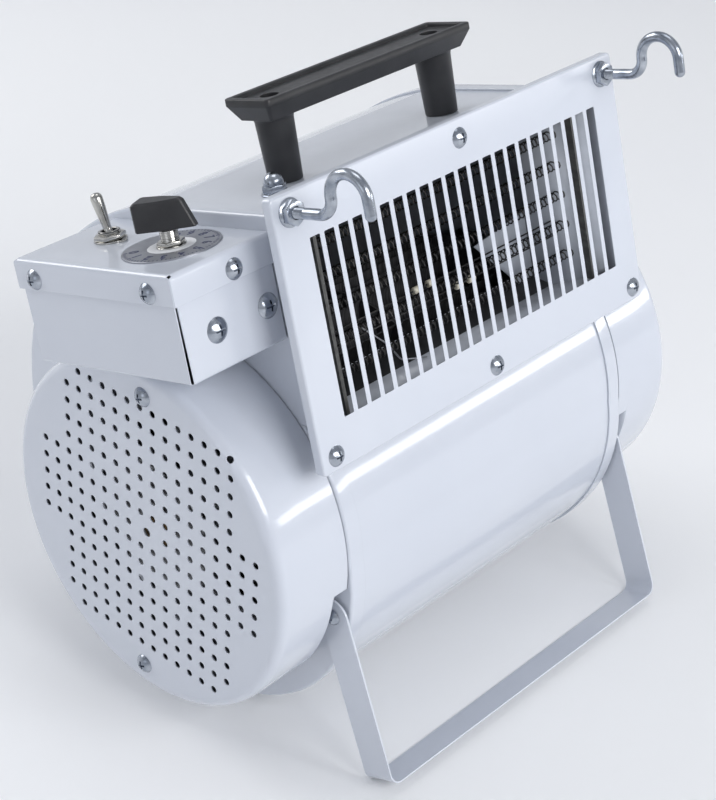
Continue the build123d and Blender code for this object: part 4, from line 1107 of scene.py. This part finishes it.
def toggle():
    """The switch: its washer, nut, threaded bushing and bat lever."""
    place = Matrix.Translation((TOGGLE_X, TOGGLE_Y, LID_TOP))

    def lay(x, y, z):
        return place @ Vector((y, x, z))
    bm = bmesh.new()
    loops = [tab_washer(), circle(TOGGLE_BUSH_R + 0.1, 32)]
    for level in (0.0, WASHER_T):
        flat(bm, loops[0], loops[1:], lambda x, y: lay(x, y, level))
    walls(bm, loops, lay, 0.0, WASHER_T)
    piece("toggle_tab_washer", bm, (NICKEL,), ("toggle_washer",), bevel=0.15)
    bm = bmesh.new()
    hex_nut(bm, TOGGLE_NUT, TOGGLE_NUT_T, TOGGLE_BUSH_R,
            place @ Matrix.Translation((0, 0, WASHER_T)))
    piece("toggle_hex_nut", bm, (NICKEL,), ("toggle_nut",))
    bm = bmesh.new()
    collar = [(TOGGLE_BUSH_R + 0.25 - 0.2 * (i % 2), WASHER_T + i * 0.45) for i in range(10)]
    top = TOGGLE_BUSH_H + 0.15
    mouth = [(TOGGLE_BUSH_R - 0.5, top), (4.7, top), (4.2, top - 0.5), (3.9, 2.2), (0, 2.2)]
    lathe(bm, [(0, WASHER_T), *collar, *mouth], place, 40)
    piece("toggle_bushing", bm, (NICKEL,))
    bm = bmesh.new()
    pivot = Matrix.Translation((TOGGLE_X, TOGGLE_Y, TOGGLE_PIVOT))
    bat = [(0, -1.5), (2.0, -1.2), (3.0, 0), (2.9, 1.2), (2.25, 2.4), (2.3, 4.0), (2.5, 7.0),
           (2.8, 11.0), (3.1, 15.0), (3.3, 18.0), (3.35, 20.0), (3.1, 21.4), (2.5, 22.3),
           (1.5, 22.9), (0, 23.2)]
    lathe(bm, bat, pivot @ Matrix.Rotation(-TOGGLE_LEAN, 4, "X"), 32)
    piece("bat_lever", bm, (NICKEL,), ("toggle_lever",), body="switch_lever",
          crease=50)


def dial_number(bm, text, at, turn, size):
    """A generic scale number, standing just proud of the dial."""
    curve = bpy.data.curves.new("number", "FONT")
    curve.body = text
    curve.size = size
    curve.align_x = "CENTER"
    curve.align_y = "CENTER"
    curve.extrude = MARK_T
    curve.offset = NUMBER_BOLD
    obj = bpy.data.objects.new("number", curve)
    mesh = bpy.data.meshes.new_from_object(obj)
    mesh.transform(Matrix.Translation(at) @ Matrix.Rotation(turn, 4, "Z"))
    bm.from_mesh(mesh)
    bpy.data.objects.remove(obj)
    bpy.data.curves.remove(curve)
    bpy.data.meshes.remove(mesh)


def scale_marks(place):
    """Ticks round the dial's edge, with a number inside each longer one."""
    bm = bmesh.new()
    top = DIAL_T + MARK_T
    out = DIAL_R - TICK_INSET
    for i in range(DIAL_TICKS + 1):
        turn = math.radians(DIAL_FIRST + DIAL_SWEEP * i / DIAL_TICKS)
        spin = place @ Matrix.Rotation(turn, 4, "Z")
        long, wide = MINOR_TICK if i % DIAL_MAJOR else MAJOR_TICK
        bar = rectangle(out - long, out, -wide, wide)

        def lay(x, y, z):
            return spin @ Vector((x, y, z))
        for level in (DIAL_T, top):
            flat(bm, bar, [], lambda x, y: lay(x, y, level))
        walls(bm, [bar], lay, DIAL_T, top)
        if i % DIAL_MAJOR == 0:
            at = lay(DIAL_R - NUMBER_INSET, 0, DIAL_T + MARK_T / 2)
            dial_number(bm, str(i // DIAL_MAJOR), at, turn - math.pi / 2, NUMBER_SIZE)
    piece("scale_marks", bm, (DARK_INK,))


def dial():
    """The numbered disc round the regulator's shaft, and the nut that clamps it."""
    place = Matrix.Translation((DIAL_X, DIAL_Y, LID_TOP))
    bush = REGULATOR_BUSH_R
    bm = bmesh.new()
    disc = [(bush, 0), (DIAL_R, 0), (DIAL_R, DIAL_T - 0.25), (DIAL_R - 0.25, DIAL_T),
            (bush, DIAL_T), (bush, 0)]
    lathe(bm, disc, place, 96)
    piece("scale_disc", bm, (DIAL,), ("dial_plate",))
    bm = bmesh.new()
    top = DIAL_T + MARK_T
    centre = [(bush, DIAL_T), (DIAL_WHITE_R, DIAL_T), (DIAL_WHITE_R, top), (bush, top),
              (bush, DIAL_T)]
    lathe(bm, centre, place, 72)
    piece("scale_centre", bm, (WHITE_INK,))
    scale_marks(place)
    bm = bmesh.new()
    seat = DIAL_T + REGULATOR_WASHER_T
    washer = [(bush, DIAL_T), (REGULATOR_WASHER_R, DIAL_T), (REGULATOR_WASHER_R, seat - 0.2),
              (REGULATOR_WASHER_R - 0.2, seat), (bush, seat), (bush, DIAL_T)]
    lathe(bm, washer, place, 48)
    hex_nut(bm, REGULATOR_NUT, REGULATOR_NUT_T, bush - 0.3,
            place @ Matrix.Translation((0, 0, seat)))
    thread(bm, bush + 0.2, DIAL_T, KNOB_GAP - 0.4, place, 0.8, 0.12)
    piece("regulator_hardware", bm, (NICKEL,), ("regulator_nut",))


def knob():
    """A pointer knob, wide at the tail and narrow at the nose, whose nose slopes back upwards."""
    base = LID_TOP + KNOB_GAP
    place = Matrix.Translation((DIAL_X, DIAL_Y, base)) @ Matrix.Rotation(KNOB_TURN, 4, "Z")

    def outline(shrink, z):
        back = -KNOB_TAIL + shrink
        half = KNOB_TAIL_W / 2 - shrink
        tip = KNOB_NOSE - KNOB_SLOPE * z / KNOB_H - shrink
        nose = KNOB_NOSE_W / 2 - shrink * 0.4
        side = [(tip, nose - 0.8), (tip - 0.8, nose), (KNOB_WAIST, half * KNOB_WAIST_W),
                (back + 1.2, half), (back, half - 1.2)]
        return [(x, -y) for x, y in reversed(side)] + side
    bm = bmesh.new()
    rows = []
    for shrink, z in ((0.3, 0.0), (0.0, 0.5), (0.0, KNOB_H - 1.3), (1.2, KNOB_H)):
        rows.append([place @ Vector((x, y, z)) for x, y in outline(shrink, z)])
    grid(bm, rows, True)
    for row in (rows[0], rows[-1]):
        bm.faces.new([bm.verts.new(p) for p in row])
    piece("pointer_knob", bm, (BLACK,), ("control_knob",), body="power_knob",
          bevel=0.5, crease=20)


# ---------------------------------------------------------------- stand

def stand():
    """A flat strip bent to a U with rounded ends, and its pivot screws."""
    place = Matrix.Translation((0, PIVOT_Y, PIVOT_Z)) @ Matrix.Rotation(-STAND_LEAN, 4, "X")
    half = STRIP_W / 2
    corners = [(-STAND_OUT, 0), (-STAND_OUT, -STAND_REACH), (STAND_OUT, -STAND_REACH),
               (STAND_OUT, 0)]
    line = rounded(corners, [STAND_BEND_R, STAND_BEND_R], 12)
    turns = [math.pi / 24 * i for i in range(1, 12)]
    eye = [(half * math.sin(a), half * math.cos(a)) for a in turns]
    rows = [(-STAND_OUT, up, wide) for up, wide in reversed(eye)]
    rows += [(x, z, half) for x, z in line]
    rows += [(STAND_OUT, up, wide) for up, wide in eye]
    bm = bmesh.new()
    spread = (-1, -0.5, 0, 0.5, 1)
    grid(bm, [[place @ Vector((x, wide * part, z)) for part in spread] for x, z, wide in rows])
    piece("strip_stand", bm, (WHITE,), ("stand_bracket",), body="stand",
          sheet=STRIP_T, bevel=0.5, crease=50)
    bm = bmesh.new()
    for way in (-1, 1):
        seat = (way * (STAND_OUT + STAND_GAP), PIVOT_Y, PIVOT_Z)
        screw(bm, PIVOT_HEAD_R, towards((way, 0, 0), seat))
    piece("stand_screw_heads", bm, (ZINC,))


scroll_wrap()
for mirrored in (False, True):
    side_plate(mirrored)
    inlet_drum(mirrored)
    hook(mirrored)
drum_screws()
grille()
hook_nuts()
heating_coils()
ceramic_beads()
lead_wires()
duct_sheets()
carry_handle()
cap_nut()
control_box()
toggle()
dial()
knob()
stand()


# ---------------------------------------------------------------- studio

def camera():
    """The camera at the viewing angle, placed in the body frame."""
    right = Vector(CAMERA_RIGHT).normalized()
    back = right.cross(-Vector(CAMERA_DOWN)).normalized()
    up = back.cross(right)
    turn = Matrix((right, up, back)).transposed().to_4x4()
    data = bpy.data.cameras.new("camera")
    data.lens = CAMERA_LENS
    data.sensor_width = 36
    data.shift_x, data.shift_y = CAMERA_SHIFT
    obj = bpy.data.objects.new("camera", data)
    bpy.context.scene.collection.objects.link(obj)
    tip = Matrix.Rotation(-TILT, 4, "X")
    obj.matrix_world = Matrix.Translation(BODY @ Vector(CAMERA_AT)) @ tip @ turn
    bpy.context.scene.camera = obj


def softbox(name, at, look, wide, tall, power, colour=(1, 1, 1)):
    """A rectangular area light aimed at a point."""
    data = bpy.data.lights.new(name, "AREA")
    data.shape = "RECTANGLE"
    data.size = wide
    data.size_y = tall
    data.energy = power
    data.color = colour
    obj = bpy.data.objects.new(name, data)
    bpy.context.scene.collection.objects.link(obj)
    obj.location = at
    obj.rotation_euler = (Vector(look) - Vector(at)).to_track_quat("-Z", "Y").to_euler()


def studio():
    """A pale floor that sweeps up into a round backdrop, under soft lights."""
    bm = bmesh.new()
    profile = [(0, 0), (STUDIO_R / 2, 0), (STUDIO_R, 0)]
    for i in range(1, 11):
        a = math.radians(9 * i)
        profile.append((STUDIO_R + STUDIO_BEND * math.sin(a), STUDIO_BEND * (1 - math.cos(a))))
    lathe(bm, profile + [(STUDIO_R + STUDIO_BEND, STUDIO_H)], Matrix(), 64)
    bmesh.ops.remove_doubles(bm, verts=bm.verts, dist=0.001)
    bmesh.ops.recalc_face_normals(bm, faces=bm.faces)
    bmesh.ops.reverse_faces(bm, faces=bm.faces)
    mesh = bpy.data.meshes.new("studio_floor")
    bm.to_mesh(mesh)
    bm.free()
    mesh.shade_smooth()
    floor = bpy.data.objects.new("studio_floor", mesh)
    bpy.context.scene.collection.objects.link(floor)
    mesh.materials.append(floor_paint())
    middle = (0, 0, 0.17)
    softbox("key", (-0.15, -2.5, 1.7), middle, 1.9, 1.2, 46)
    softbox("strip", (1.82, -1.85, 0.6), middle, 1.5, 0.2, 7)
    softbox("top", (0.3, 0.2, 2.6), middle, 1.2, 1.2, 8)
    softbox("left", (-2.3, -0.2, 0.9), middle, 1.0, 0.8, 2, (0.88, 0.92, 1.0))
    softbox("back", (-0.6, 2.2, 1.5), (0, 0.9, 0), 1.4, 1.4, 24)
    world = bpy.data.worlds.new("studio")
    world.use_nodes = True
    nodes = world.node_tree.nodes
    links = world.node_tree.links
    split = nodes.new("ShaderNodeSeparateXYZ")
    ramp = nodes.new("ShaderNodeValToRGB")
    ramp.color_ramp.elements[0].position = 0.02
    ramp.color_ramp.elements[0].color = (*ROOM_DIM, 1)
    ramp.color_ramp.elements[1].position = 0.75
    ramp.color_ramp.elements[1].color = (*ROOM_BRIGHT, 1)
    links.new(nodes.new("ShaderNodeTexCoord").outputs["Generated"], split.inputs["Vector"])
    links.new(split.outputs["Z"], ramp.inputs["Fac"])
    links.new(ramp.outputs["Color"], nodes["Background"].inputs["Color"])
    nodes["Background"].inputs["Strength"].default_value = 1.0
    bpy.context.scene.world = world
    bpy.context.scene.view_settings.view_transform = "Standard"


camera()
studio()
